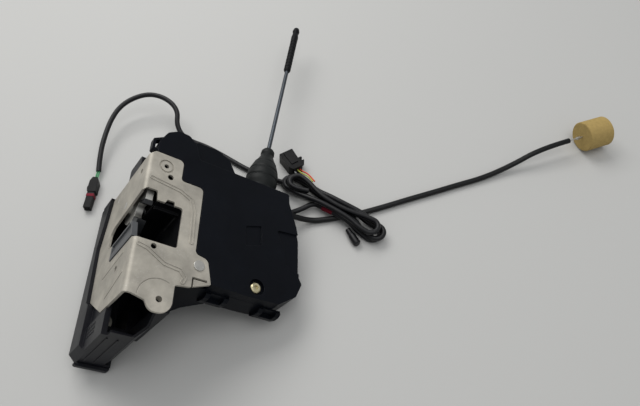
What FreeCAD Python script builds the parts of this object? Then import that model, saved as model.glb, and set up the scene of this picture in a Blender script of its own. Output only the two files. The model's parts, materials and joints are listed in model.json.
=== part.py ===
import FreeCAD, Part
import math
import os
from FreeCAD import Placement, Rotation, Vector

# Front side-door lock of a car, in millimetres, lying on a table as it would on a bench.
# The pieces are drawn in the lock's own frame and tipped onto the table at the end:
# x runs to the right in the pressed plate's face, y runs up towards the lock rod,
# z comes out of that face, and the origin is on the plate's outer bend line.

# Pressed steel latch plate: the face and the shut side are one bent sheet
SHEET = 2.0
BEND_RADIUS = 3.5
FACE_TOP = 95.2
FACE_BOTTOM = -32.0
FACE_WIDTH = 64.8
EAR_WIDTH = 49.2
EAR_TOP = 75.2
LOBE_X = 26.3
LOBE_Y = -31.6
LOBE_RADIUS = 10.2
SHUT_TOP = 91.5
SHUT_DEPTH = 93.0
SHUT_BOTTOM = -30.0
BEAD_HEIGHT = 0.6
BEAD_WIDTH = 3.6
BEAD_GROOVE = 1.6
RING_X = 15.4
RING_Y = 83.9
RING_RADIUS = 6.2
RIVET = (53.3, 3.9)
RIVET_SHANK = 2.4

# Fishmouth that the striker enters, and its slot in the shut side
MOUTH_RIGHT = 34.2
MOUTH_TOP = 49.6
MOUTH_BOTTOM = 12.8
NOTCH_TOP = 58.2
SLOT_TOP = 56.5
SLOT_BOTTOM = 14.2
SLOT_DEPTH = 67.5

# Screw holes that fasten the lock to the door
SCREW_BORE = 2.5
COLLAR_WALL = 2.0
COLLAR_LENGTH = 4.0
SHUT_SCREWS = ((80.6, -13.7), (-1.5, -31.0))

# Plastic latch housing behind the plate
WALL = 2.0
FIT = 0.2
BOX_TOP = 92.0
BOX_BOTTOM = -52.0
BOX_RIGHT = 29.0
BOX_DEPTH = 100.0
BOX_RIM = 3.0
BACK_COVER = 3.0
TAIL_FRONT = 27.0
TAIL_TOP = -37.0
TAIL_FLOOR = -62.0
POCKET_LEFT = 13.0
POCKET_WALL = 1.6

# Plastic actuator housing to the right of the plate
COVER_SHEET = 2.4
COVER_SKIRT = 9.0
COVER_RIGHT = 144.5
COVER_TOP = 104.0
COVER_BOTTOM = -9.0
COVER_GAP = 0.6
SHELL_DEPTH = 30.0
SHELL_DEEP = 84.0
SHELL_JOIN = 0.3
DOME_DEPTH = 28.0
DOME_ROUND = 6.0
LOBE_FRONT = 7.0
COVER_SCREW = (104.7, 1.0)

# Rotary latch, its pawl and their studs
LATCH_PIVOT = (62.0, -40.0)
PAWL_PIVOT = (82.0, -66.0)
LATCH_STUD = 4.0
PAWL_STUD = 3.0
RUNNING = 0.05
LATCH_FRONT = 5.2
LATCH_BACK = 11.0
COATING = 0.6
LATCH_REACH = 34.0
LATCH_HUB = 15.0
LATCH_LAND = 20.0
JAW_WIDTH = 14.0
JAW_REACH = 23.0
JAW_ANGLE = -34.0
ARM_START = -80.0
ARM_END = 10.0
LAND_START = 132.0
LAND_END = 165.0
NOSE_ANGLE = 105.0
NOSE_GAP = 0.4
PIVOT_PLATE_X = 16.5
PIVOT_PLATE = 1.5

# Lock rod with its gaiter, pointing out of the actuator housing
ROD_RADIUS = 2.0
ROD_FOOT = Vector(108.7, COVER_TOP, -15.1)
ROD_RUN = Vector(20.7, 180.0, 13.1)
ROD_LENGTH = 236.0
SLEEVE_RADIUS = 3.7
SLEEVE_LENGTH = 72.0
ROD_PIN = Vector(107.0, COVER_TOP - 14.0, -16.1)
BOOT_RADIUS = 15.0
BOOT_HEIGHT = 52.0
BOOT_BASE = 12.4
BOOT_WALL = 1.8
COLLAR_RADIUS = 5.2

# Lock drive: motor, worm, worm wheel and lock lever
WHEEL_CENTRE = (72.5, 56.0)
WHEEL_RADIUS = 17.6
WHEEL_TEETH = 24
WHEEL_BACK = -27.6
WHEEL_FRONT = -22.4
PINION_RADIUS = 8.4
PINION_TEETH = 10
TOOTH = 1.8
MESH_GAP = 0.4
WORM_RADIUS = 3.5
MOTOR_RADIUS = 10.8
MOTOR_LOW = 8.0
MOTOR_HIGH = 42.0
WORM_LENGTH = 22.0
LOCK_PIVOT = (84.0, 84.0)
LEVER_SHEET = 3.0
LOCK_LEVER_BACK = -21.9
PIN_RADIUS = 2.5

# Inside release: cable, lever and link
RELEASE_PIVOT = (112.0, 64.0)
RELEASE_BACK = -12.5
CABLE_ARM = 30.0
LINK_ARM = 20.0
CABLE_Z = -15.4
LINK_BACK = -14.7
LINK_SHEET = 1.8
LINK_LENGTH = 54.0
SHEATH_RADIUS = 2.7
SHEATH_SEAT = 8.0
FERRULE_START = 131.2
FERRULE_LENGTH = 17.0
FERRULE_RADIUS = 3.7
FERRULE_FLANGE = 4.1
CONDUIT_RADIUS = 1.2
WIRE_RADIUS = 0.8
NIPPLE_RADIUS = 1.8

# Outside release lever and key cam at the back of the latch housing
OUTSIDE_PIVOT = (66.0, 10.0 - BOX_DEPTH)
OUTSIDE_X = 19.0
CAM_X = 14.5
CAM_Y = -18.0
CAM_RADIUS = 7.4

# Wiring harness: its leads leave through a grommet beside the cable
LEAD_RADIUS = 2.5
GROMMET_Y = 100.0
GROMMET_Z = -22.5
GROMMET_START = 130.9
GROMMET_LENGTH = 8.0
GROMMET_RADIUS = 3.2

# Cable and leads where they lie on the table; these points are in the final frame
SHEATH_ROUTE = [
    Vector(95.6, -47.5, 2.8), Vector(119.0, -43.9, 2.8), Vector(143.0, -38.2, 2.8), Vector(169.0, -29.2, 2.8),
    Vector(195.0, -19.0, 2.8), Vector(222.0, -9.2, 2.8), Vector(248.0, 0.8, 2.8), Vector(274.5, 10.2, 2.8),
    Vector(305.5, 25.0, 5.5), Vector(337.9, 40.9, 15.5), Vector(369.7, 52.8, 15.5),
]
LEAD_ROUTE = [Vector(76.9, -41.5, 6.2), Vector(90.0, -35.2, 4.6), Vector(102.0, -27.3, 5.2)]
SIDE_ROUTE = [
    Vector(78.0, -5.0, 4.5), Vector(60.0, 2.0, 3.0), Vector(36.5, 12.6, 2.7), Vector(8.5, 31.9, 2.7),
    Vector(-9.5, 42.6, 3.0), Vector(-23.0, 45.5, 6.0), Vector(-33.5, 50.5, 11.0), Vector(-38.5, 60.5, 16.0),
    Vector(-38.3, 72.5, 19.5), Vector(-44.8, 83.0, 22.0), Vector(-57.5, 91.5, 23.3), Vector(-72.0, 94.0, 23.3),
    Vector(-86.8, 88.3, 22.0), Vector(-98.2, 78.6, 19.5), Vector(-104.8, 64.6, 16.5), Vector(-108.3, 46.5, 13.3),
    Vector(-110.2, 24.5, 9.5), Vector(-108.9, 4.5, 5.0),
]
WIRE_GRIP = 17.5
WIRE_SHOWN = 16.5
FOAM_RADIUS = 15.5
FOAM_LENGTH = 28.0
FOAM_DEPTH = 18.0
HANK_HEIGHT = 16.0
HANK_ROUND = 5.0
HANK_CHANNEL = 0.4
HANK_EDGE = [
    (70.0, -10.0, 5), (71.0, 3.0, 6), (80.5, 8.5, 7), (100.0, -8.5), (113.5, -20.5, 8), (139.0, -34.5, 8),
    (160.4, -48.5), (171.0, -60.0, 6), (164.0, -69.0, 6), (146.0, -66.0, 4), (131.0, -54.0, 8), (121.0, -41.5, 6),
    (104.0, -32.0), (84.0, -24.0, 8),
]
PLUG_CORNER = Vector(73.7, 30.7, 0)
PLUG_HEADING = -57.0
PLUG_LENGTH = 23.5
PLUG_WIDTH = 15.2
PLUG_HEIGHT = 12.0
PLUG_CAVITY = 1.8
SIDE_PLUG = Vector(-109.6, -4.5, 4.2)
SIDE_PLUG_LENGTH = 35.0
THIN_WIRE = 0.7

# A prism is drawn in XY and turned so that its length runs along x, y or z.
# Along x its outline is given as (y, z), along y as (z, x) and along z as (x, y).
TURNS = {
    "x": Rotation(Vector(1, 1, 1), 120),
    "y": Rotation(Vector(1, 1, 1), 240),
    "z": Rotation(),
}
AXES = {"x": Vector(1, 0, 0), "y": Vector(0, 1, 0), "z": Vector(0, 0, 1)}


def outline(points):
    """Closed wire in XY through (x, y) corners, rounded where a radius follows."""
    spots = [Vector(point[0], point[1], 0) for point in points]
    radii = [point[2] if len(point) > 2 else 0 for point in points]
    corners = []
    for index, spot in enumerate(spots):
        before = (spots[index - 1] - spot).normalize()
        after = (spots[(index + 1) % len(spots)] - spot).normalize()
        half = before.getAngle(after) / 2
        reach = radii[index] / math.tan(half)
        bisector = (before + after).normalize() if radii[index] else Vector()
        middle = spot + bisector * (radii[index] / math.sin(half) - radii[index])
        corners.append((spot + before * reach, middle, spot + after * reach))
    edges = []
    for index, (start, middle, stop) in enumerate(corners):
        last_stop = corners[index - 1][2]
        if last_stop.distanceToPoint(start) > 1e-6:
            edges.append(Part.LineSegment(last_stop, start).toShape())
        if radii[index]:
            edges.append(Part.Arc(start, middle, stop).toShape())
    return Part.Wire(edges)


def prism(wire, axis, low, high):
    """Solid with that outline between two places along an axis."""
    if not isinstance(wire, Part.Wire):
        wire = outline(wire)
    solid = Part.Face(wire).extrude(Vector(0, 0, high - low))
    solid.Placement = Placement(Vector(), TURNS[axis]) * Placement(Vector(0, 0, low), Rotation())
    return solid


def block(x_low, x_high, y_low, y_high, z_low, z_high):
    size = (x_high - x_low, y_high - y_low, z_high - z_low)
    return Part.makeBox(*size, Vector(x_low, y_low, z_low))


def peg(axis, across, radius, low, high):
    """Cylinder along an axis; across holds its two other coordinates, as a prism's outline does."""
    start = TURNS[axis].multVec(Vector(across[0], across[1], low))
    return Part.makeCylinder(radius, high - low, start, AXES[axis])


def turned(profile, start, direction):
    """Solid of revolution: profile is (distance along, radius) from start along direction."""
    points = [(0, profile[0][0])]
    points += [(radius, along) for along, radius in profile]
    points += [(0, profile[-1][0])]
    spots = [Vector(across, 0, along) for across, along in points]
    face = Part.Face(Part.makePolygon(spots + spots[:1]))
    solid = face.revolve(Vector(), Vector(0, 0, 1), 360)
    solid.Placement = Placement(start, Rotation(Vector(0, 0, 1), direction))
    return solid


def sector(centre, radius, start, stop, inner=0):
    """Wire round a pie slice of a disc, from one angle to another."""
    def spot(angle, distance):
        turn = math.radians(angle)
        return Vector(centre[0] + distance * math.cos(turn), centre[1] + distance * math.sin(turn), 0)

    middle = (start + stop) / 2
    rim = Part.Arc(spot(start, radius), spot(middle, radius), spot(stop, radius)).toShape()
    if inner:
        root = Part.Arc(spot(stop, inner), spot(middle, inner), spot(start, inner)).toShape()
    sides_in = spot(stop, inner), spot(start, inner)
    edges = [rim, Part.LineSegment(spot(stop, radius), sides_in[0]).toShape()]
    if inner:
        edges.append(root)
    edges.append(Part.LineSegment(sides_in[1], spot(start, radius)).toShape())
    return Part.Wire(edges)


def stroke(points, width, axis, low, high):
    """Ridge of even width along a line of points, with round ends and joints."""
    half = width / 2
    pieces = [peg(axis, point, half, low, high) for point in points]
    for first, last in zip(points, points[1:]):
        along = Vector(last[0] - first[0], last[1] - first[1], 0).normalize()
        side = Vector(-along.y, along.x, 0) * half
        corners = [(first[0] + side.x, first[1] + side.y), (last[0] + side.x, last[1] + side.y)]
        corners += [(last[0] - side.x, last[1] - side.y), (first[0] - side.x, first[1] - side.y)]
        pieces.append(prism(corners, axis, low, high))
    return pieces[0].multiFuse(pieces[1:]).removeSplitter()


def gear(centre, tip, depth, teeth, phase=0.0):
    """Wire round a gear with straight-flanked teeth."""
    points = []
    for tooth in range(teeth):
        for share, radius in ((-0.30, tip - depth), (-0.14, tip), (0.14, tip), (0.30, tip - depth)):
            turn = 2 * math.pi * (tooth + phase + share) / teeth
            points.append((centre[0] + radius * math.cos(turn), centre[1] + radius * math.sin(turn)))
    return outline(points)


def fused(pieces):
    return pieces[0].multiFuse(pieces[1:]).removeSplitter()


def face_outline():
    """Edge of the pressed plate's face, in x and y."""
    lobe_right = LOBE_X + LOBE_RADIUS
    lobe_low = LOBE_Y - LOBE_RADIUS
    return outline([
        (-BEND_RADIUS, FACE_TOP - 7), (5, FACE_TOP, 3), (29.3, FACE_TOP, 4), (29.3, EAR_TOP, 3),
        (EAR_WIDTH, EAR_TOP, 4), (EAR_WIDTH, 13.5, 4), (60.2, 11, 5), (FACE_WIDTH, -9.2, 1),
        (48.2, -15.6, 1.5), (lobe_right, -17.4, 2), (lobe_right, lobe_low, LOBE_RADIUS - 0.2),
        (LOBE_X - 6.3, lobe_low, 7), (LOBE_X - 10.3, FACE_BOTTOM - 2.8, 1), (5.6, FACE_BOTTOM),
        (-BEND_RADIUS, FACE_BOTTOM),
    ])


def shut_outline():
    """Edge of the plate's shut side, in y and z."""
    return outline([
        (SHUT_TOP, BEND_RADIUS), (SHUT_TOP, -81, 2), (65, -87, 5), (46, -SHUT_DEPTH, 5), (-8, -85, 3),
        (SHUT_BOTTOM, -49, 1), (FACE_BOTTOM, 0), (FACE_BOTTOM, BEND_RADIUS),
    ])


def slot_outline():
    """Edge of the striker slot in the shut side, in y and z."""
    end = -SLOT_DEPTH
    return outline([
        (SLOT_TOP, 6), (SLOT_TOP - 5, end + 6, 4), (47, end, 4), (33, end, 4), (30.5, end + 13, 3),
        (SLOT_BOTTOM, end + 15, 2), (SLOT_BOTTOM, 6),
    ])


def mouth_outline():
    """Edge of the fishmouth in the plate's face, in x and y."""
    return outline([
        (-9, SLOT_TOP - 1.5), (0, SLOT_TOP - 1.5), (3.4, NOTCH_TOP, 1), (11.8, NOTCH_TOP, 1.5),
        (POCKET_LEFT, MOUTH_TOP), (19.2, MOUTH_TOP, 0.8), (20.8, 53, 1), (26.6, 53, 1),
        (27.4, MOUTH_TOP, 0.5), (MOUTH_RIGHT, MOUTH_TOP, 2.5), (MOUTH_RIGHT, MOUTH_BOTTOM, 2.5),
        (-9, MOUTH_BOTTOM),
    ])


def latch_plate():
    section = [
        (-SHUT_DEPTH, 0), (0, 0, BEND_RADIUS), (0, FACE_WIDTH), (-SHEET, FACE_WIDTH),
        (-SHEET, SHEET, BEND_RADIUS - SHEET), (-SHUT_DEPTH, SHEET),
    ]
    sheet = prism(section, "y", LOBE_Y - LOBE_RADIUS, FACE_TOP)
    sheet = sheet.common(prism(face_outline(), "z", -SHUT_DEPTH, 1))
    side = block(-1, SHEET + FIT, LOBE_Y - LOBE_RADIUS, FACE_TOP, -SHUT_DEPTH, -BEND_RADIUS)
    sheet = sheet.cut(side.cut(prism(shut_outline(), "x", -2, SHEET + 2)))
    collars = [peg("x", spot, SCREW_BORE + COLLAR_WALL, SHEET, SHEET + COLLAR_LENGTH) for spot in SHUT_SCREWS]
    collars.append(peg("z", (LOBE_X, LOBE_Y), SCREW_BORE + COLLAR_WALL, -SHEET - COLLAR_LENGTH, -SHEET))
    beads = plate_beads()
    sheet = fused([sheet] + collars + beads)
    tools = [
        prism(mouth_outline(), "z", -BEND_RADIUS - 1, 2),
        prism(slot_outline(), "x", -2, SHEET + 1),
        peg("z", (LOBE_X, LOBE_Y), SCREW_BORE, -SHEET - COLLAR_LENGTH - 1, 2),
        peg("z", (20.2, 74.7), 2.5, -SHEET - 1, 2),
        peg("z", (16, 9.0), 2.3, -SHEET - 1, 2),
        peg("z", (RING_X, RING_Y), 2.0, -SHEET - 1, 2),
        peg("z", RIVET, RIVET_SHANK + RUNNING, -SHEET - 1, 2),
        peg("z", (RING_X, RING_Y), RING_RADIUS, -0.9, 2).cut(peg("z", (RING_X, RING_Y), RING_RADIUS - 1.3, -1, 3)),
        lobe_line(),
        peg("x", LATCH_PIVOT, 3 + RUNNING, -1, SHEET + 1),
        peg("x", PAWL_PIVOT, 2 + RUNNING, -1, SHEET + 1),
        block(50.5, 61.5, -8.4, -6.6, -SHEET - 1, 1),
        block(49.2, 50.5, -16, -6.6, -SHEET - 1, 1),
    ]
    tools += [peg("x", spot, SCREW_BORE, -1, SHEET + COLLAR_LENGTH + 1) for spot in SHUT_SCREWS]
    for tool in tools:
        sheet = sheet.cut(tool)
    return sheet


def plate_beads():
    """Stiffening beads pressed proud of the face and of the shut side."""
    face_lines = [
        [(5, 68.8), (30, 65.5), (40, 60.5), (43.5, 50), (44.6, 22)],
        [(4.5, 7.6), (11.5, 6.2), (26, -2.6), (39, -4.2), (43.4, -9.5), (41.8, -13.5)],
    ]
    beads = []
    for line in face_lines:
        groove = stroke(line, BEAD_GROOVE, "z", BEAD_HEIGHT / 6, 1)
        beads.append(stroke(line, BEAD_WIDTH, "z", -SHEET / 2, BEAD_HEIGHT).cut(groove))
    shut_lines = [[(8, -20), (4, -62)], [(-12, -12), (-20, -44)]]
    beads += [stroke(line, BEAD_GROOVE, "x", -BEAD_HEIGHT / 2, SHEET / 2) for line in shut_lines]
    return beads


def lobe_line():
    """Shallow arc that the press left in the face round the screw lobe."""
    ring = peg("z", (LOBE_X - 1, LOBE_Y), 16, -0.35, 2).cut(peg("z", (LOBE_X - 1, LOBE_Y), 15.3, -1, 3))
    return ring.common(block(LOBE_X - 20, LOBE_X + 6, LOBE_Y, LOBE_Y + 20, -1, 2))


def plate_rivets():
    """Flush rivet by the plate's lower corner, and the one that ties the actuator housing."""
    disc = peg("z", RIVET, 4.5, 0, 1.0)
    disc = disc.makeChamfer(0.3, [edge for edge in disc.Edges if edge.BoundBox.ZMin > 0.9])
    shank = peg("z", RIVET, RIVET_SHANK, -SHEET - 1.5, 0)
    return disc.fuse(shank)


def box_right():
    """Outer face of the latch housing beside the striker pocket."""
    return MOUTH_RIGHT + POCKET_WALL + FIT + WALL


def latch_box():
    right = box_right() - WALL
    front = -SHEET - FIT
    pocket_end = -SLOT_DEPTH - FIT
    profile = [
        (BOX_TOP, front), (BOX_TOP, -BOX_DEPTH), (BOX_BOTTOM, -BOX_DEPTH), (BOX_BOTTOM, -TAIL_FRONT, 2),
        (FACE_BOTTOM - 1, front),
    ]
    section = [
        (front, SHEET + FIT, BEND_RADIUS - SHEET), (front, right + WALL), (pocket_end - WALL, right + WALL, 1),
        (pocket_end - WALL, BOX_RIGHT), (-BOX_DEPTH, BOX_RIGHT), (-BOX_DEPTH, SHEET + FIT),
    ]
    body = prism(profile, "x", -BOX_RIM, right + WALL)
    shell = body.common(prism(section, "y", BOX_BOTTOM, BOX_TOP))
    tail = body.common(block(0, SHEET + 1, BOX_BOTTOM, SHUT_BOTTOM - 2, -BOX_DEPTH, 0))
    rim = body.common(block(-BOX_RIM, SHEET + 1, BOX_BOTTOM, BOX_TOP, -BOX_DEPTH, -BOX_DEPTH + 22))
    plate_edge = shut_outline().makeOffset2D(COVER_GAP)
    rim = rim.cut(prism(plate_edge, "x", -BOX_RIM - 1, SHEET + FIT))
    hump = prism([(BOX_TOP - 1, -28.4), (109, -28.4, 3), (109, -55, 3), (BOX_TOP - 1, -55)], "x", 2.2, 24)
    shell = fused([shell, tail, rim, hump])
    step = block(BOX_RIGHT, right + WALL + 1, BOX_BOTTOM - 1, TAIL_TOP, -BOX_DEPTH - 1, 1)
    shell = shell.cut(step).cut(tail_corner(0))
    hollow_profile = [
        (BOX_TOP - WALL, 5), (BOX_TOP - WALL, -BOX_DEPTH - 1), (BOX_BOTTOM + WALL, -BOX_DEPTH - 1),
        (BOX_BOTTOM + WALL, -TAIL_FRONT - 1), (BOX_BOTTOM - 9, -TAIL_FRONT + 2), (FACE_BOTTOM - 9, 5),
    ]
    hollow_section = [
        (5, SHEET + FIT + WALL), (5, right), (pocket_end, right), (pocket_end, BOX_RIGHT - WALL),
        (-BOX_DEPTH - 1, BOX_RIGHT - WALL), (-BOX_DEPTH - 1, SHEET + FIT + WALL),
    ]
    hollow = prism(hollow_profile, "x", -BOX_RIM, right + WALL)
    hollow = hollow.common(prism(hollow_section, "y", BOX_BOTTOM - 10, BOX_TOP))
    step = block(BOX_RIGHT - WALL, right + WALL, BOX_BOTTOM - 11, TAIL_TOP + WALL, -BOX_DEPTH - 2, 6)
    floor = block(0, BOX_RIGHT, BOX_BOTTOM - 11, TAIL_TOP + 4, TAIL_FLOOR - WALL, TAIL_FLOOR)
    hollow = hollow.cut(step).cut(floor).cut(tail_corner(WALL * math.sqrt(2)))
    behind_plate = block(SHEET - 1, SHEET + FIT + WALL + 1, 5, BOX_TOP - WALL, -86, 1)
    recess = block(-1, 5, BOX_BOTTOM - 1, SHUT_BOTTOM + 2, -TAIL_FRONT - 7, 1)
    shell = shell.cut(hollow).cut(behind_plate).cut(recess)
    for spot in SHUT_SCREWS:
        shell = shell.cut(peg("x", spot, SCREW_BORE + COLLAR_WALL + FIT, -1, SHEET + COLLAR_LENGTH + FIT))
    shell = shell.cut(peg("z", (LOBE_X, LOBE_Y), SCREW_BORE + COLLAR_WALL + FIT, -SHEET - COLLAR_LENGTH - FIT, 1))
    return shell.cut(back_corner())


def tail_corner(inward):
    """Wedge off the lower right corner of the housing's tail."""
    low = BOX_BOTTOM - 12
    reach = BOX_RIGHT + 1
    start = BOX_BOTTOM + 7 + inward
    return prism([(reach, start), (reach, low), (reach - start + low, low)], "z", -BOX_DEPTH + 4, 6)


def back_corner():
    """Wedge that bevels the latch housing and its lid at the lower outer corner."""
    bevel = [(-BOX_RIM - 1, BOX_BOTTOM - 1), (-BOX_RIM + 7, BOX_BOTTOM - 1), (-BOX_RIM - 1, BOX_BOTTOM + 7)]
    return prism(bevel, "z", -BOX_DEPTH - BACK_COVER - 1, -BOX_DEPTH + 30)


def back_cover():
    """Lid over the back of the latch housing, with the tongue at its lower end."""
    low = -BOX_DEPTH - BACK_COVER
    plate = prism([
        (-BOX_RIM, BOX_BOTTOM, 2), (BOX_RIGHT, BOX_BOTTOM, 2), (BOX_RIGHT, BOX_TOP, 3), (-BOX_RIM, BOX_TOP, 3),
    ], "z", low, -BOX_DEPTH)
    tongue = prism([(1, BOX_BOTTOM - 3, 2), (BOX_RIGHT, BOX_BOTTOM - 3, 2), (BOX_RIGHT, -44), (1, -44)],
                   "z", low + 1, -BOX_DEPTH + 2)
    box = prism([(-BOX_RIM - 1, BOX_BOTTOM - FIT), (BOX_RIGHT + 5, BOX_BOTTOM - FIT), (BOX_RIGHT + 5, 0),
                 (-BOX_RIM - 1, 0)], "z", -BOX_DEPTH, -BOX_DEPTH + 5)
    lid = fused([plate, tongue.cut(box)])
    window = block(OUTSIDE_X - 3, OUTSIDE_X + 6, 30, 58, low - 1, -BOX_DEPTH + 1)
    cam_hole = peg("z", (CAM_X, CAM_Y), CAM_RADIUS + RUNNING + 0.2, low - 1, -BOX_DEPTH + 1)
    return lid.cut(window).cut(cam_hole).cut(back_corner())


def striker_pocket():
    """Plastic liner of the fishmouth, open at its mouth and towards the latch."""
    front = -SHEET - FIT
    inner = outline([(POCKET_LEFT - 5, MOUTH_BOTTOM), (MOUTH_RIGHT, MOUTH_BOTTOM, 2.5),
                     (MOUTH_RIGHT, MOUTH_TOP, 2.5), (POCKET_LEFT - 5, MOUTH_TOP)])
    outer = outline([(POCKET_LEFT, MOUTH_BOTTOM - POCKET_WALL, 1),
                     (MOUTH_RIGHT + POCKET_WALL, MOUTH_BOTTOM - POCKET_WALL, 3),
                     (MOUTH_RIGHT + POCKET_WALL, MOUTH_TOP + POCKET_WALL, 3),
                     (POCKET_LEFT, MOUTH_TOP + POCKET_WALL, 1)])
    tub = prism(outer, "z", -SLOT_DEPTH, front)
    tub = tub.cut(prism(inner, "z", -SLOT_DEPTH + POCKET_WALL, 1))
    ledge = block(POCKET_LEFT + 1, MOUTH_RIGHT, MOUTH_TOP - 2.6, MOUTH_TOP + 0.5, -11, -8.5)
    return tub.fuse(ledge).removeSplitter()


def striker_buffer():
    """Rubber stop at the closed end of the striker slot."""
    back = -SLOT_DEPTH + POCKET_WALL
    stop = prism([(MOUTH_BOTTOM + 8, back), (MOUTH_TOP - 4, back), (MOUTH_TOP - 6, back + 6.5, 2),
                  (MOUTH_BOTTOM + 10, back + 6.5, 2)], "x", POCKET_LEFT + 0.5, MOUTH_RIGHT - 0.5)
    grooves = [block(x, x + 1.6, 0, 60, back + 4.5, back + 8) for x in (18, 23, 28)]
    for groove in grooves:
        stop = stop.cut(groove)
    return stop


def striker_guide():
    """Plastic ramp along the lower edge of the striker slot."""
    end = -SLOT_DEPTH + 15.6
    ramp = prism([(SLOT_BOTTOM + 0.6, -4), (SLOT_BOTTOM + 16.2, -9, 1), (SLOT_BOTTOM + 15.0, end, 1),
                  (SLOT_BOTTOM + 0.6, end)], "x", -0.8, SHEET + 1.6)
    ramp = ramp.cut(prism([(SLOT_BOTTOM + 5.8, -8), (SLOT_BOTTOM + 14.4, -10.5), (SLOT_BOTTOM + 13.4, end + 1.6),
                           (SLOT_BOTTOM + 5.8, end + 1.6)], "x", -1, 0.6))
    foot = block(SHEET + FIT, SHEET + 1.6, 5.2, SLOT_BOTTOM + 3, end, -8)
    return fused([ramp, foot])


def cover_region():
    """Edge of everything that the front cover and the plate show together, in x and y."""
    return outline([
        (6, FACE_TOP - 6), (6, 107, 5), (12, 119, 8), (21, 124.5, 6), (31, 124.5, 6), (38.5, 117, 5),
        (42.5, COVER_TOP - 0.5, 3), (132.6, COVER_TOP, 2), (133.2, 94),
        (COVER_RIGHT - 3.2, 70.7, 6), (COVER_RIGHT - 0.3, 57), (COVER_RIGHT, 21), (COVER_RIGHT + 3, 15.5, 1.5),
        (COVER_RIGHT - 2.5, 2.6, 2), (125.8, COVER_BOTTOM + 0.4, 3), (98.9, COVER_BOTTOM - 0.5),
        (65.7, COVER_BOTTOM + 0.3, 1), (52, 0), (20, 60),
    ])


def shell_outline():
    """Edge of the actuator housing's rear shell, in x and y."""
    left = box_right() + SHELL_JOIN
    return outline([
        (left, COVER_BOTTOM, 1), (left, COVER_TOP - 1, 1), *lobe_edge(), (132.6, COVER_TOP, 2), (133.2, 94),
        (COVER_RIGHT - 3.2, 70.7, 6), (COVER_RIGHT - 0.3, 57), (COVER_RIGHT, 21), (COVER_RIGHT, 8, 2),
        (COVER_RIGHT - 2.5, 2.6, 2), (125.8, COVER_BOTTOM + 0.4, 3), (98.9, COVER_BOTTOM - 0.5),
        (65.7, COVER_BOTTOM),
    ])


def lobe_edge():
    """Corners of the rear shell's shoulder above the front cover, beside the dome."""
    return [
        (43.2, COVER_TOP - 0.5), (39.4, COVER_TOP + 13), (40.2, COVER_TOP + 23.3, 4), (62.1, COVER_TOP + 23.3, 10),
        (73.2, COVER_TOP + 17.8, 6), (79.5, COVER_TOP + 6, 6), (85, COVER_TOP),
    ]


def shell_section(front):
    """Section of the rear shell, in z and x: deep beside the latch housing, shallow to the right."""
    left = box_right() + SHELL_JOIN
    step = -SLOT_DEPTH - FIT - WALL - SHELL_JOIN
    return outline([
        (front, left), (front, COVER_RIGHT + 6), (-SHELL_DEPTH, COVER_RIGHT + 6), (-SHELL_DEPTH, 76, 3),
        (-50, 62, 3), (-SHELL_DEEP, 50, 4), (-SHELL_DEEP, BOX_RIGHT + SHELL_JOIN, 2),
        (step, BOX_RIGHT + SHELL_JOIN), (step, left),
    ])


def front_cover():
    plate_hole = face_outline().makeOffset2D(COVER_GAP)
    region = Part.Face(cover_region()).cut(Part.Face(plate_hole))
    edge = max(region.Faces, key=lambda face: face.Area).OuterWire
    cover = prism(edge, "z", -COVER_SKIRT, 0)
    dome_edge = [(6, 107, 5), (12, 119, 8), (21, 124.5, 6), (31, 124.5, 6), (38.5, 117, 5), (42, 97), (6, 97)]
    dome = prism(dome_edge, "z", -DOME_DEPTH, 0)
    rim = [item for item in dome.Edges if item.BoundBox.ZMin > -0.01 and item.BoundBox.YMax > 98]
    dome = dome.makeFillet(DOME_ROUND, rim)
    cover = fused([cover, dome])
    inside = edge.makeOffset2D(-WALL)
    cover = cover.cut(prism(inside, "z", -COVER_SKIRT - 1, -COVER_SHEET))
    dome_inside = outline(dome_edge).makeOffset2D(-WALL)
    cover = cover.cut(prism(dome_inside, "z", -DOME_DEPTH - 1, -COVER_SHEET))
    cover = cover.cut(block(0, 60, 80, COVER_TOP + SHELL_JOIN, -DOME_DEPTH - 1, -COVER_SKIRT))
    cover = cover.cut(block(0, box_right() + FIT, 0, BOX_TOP + FIT, -COVER_SKIRT - 1, -SHEET))
    clip = stroke([(7.5, 99), (3, 101), (3, 110), (9.5, 114)], 2.4, "z", -10, -4)
    cover = fused([cover, clip.cut(prism(dome_inside, "z", -DOME_DEPTH - 1, 1))])
    boss = peg("z", COVER_SCREW, 8.4, -COVER_SKIRT, 0)
    cover = cover.fuse(boss).cut(peg("z", COVER_SCREW, 6.9, -3.4, 1))
    cover = cover.cut(peg("z", COVER_SCREW, 2.3, -COVER_SKIRT - 1, 1))
    window = prism([(91, 54.5, 1), (106, 59.5, 1), (107, 40.5, 1), (92, 35.5, 1)], "z", -1.2, 1)
    step = prism([(121, 61, 2), (COVER_RIGHT + 3, 64), (COVER_RIGHT + 3, 24), (138, 26.5, 3), (131, 29.5, 3),
                  (129.5, 44, 4)], "z", -1.6, 1)
    return cover.cut(window).cut(step).removeSplitter()


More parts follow.
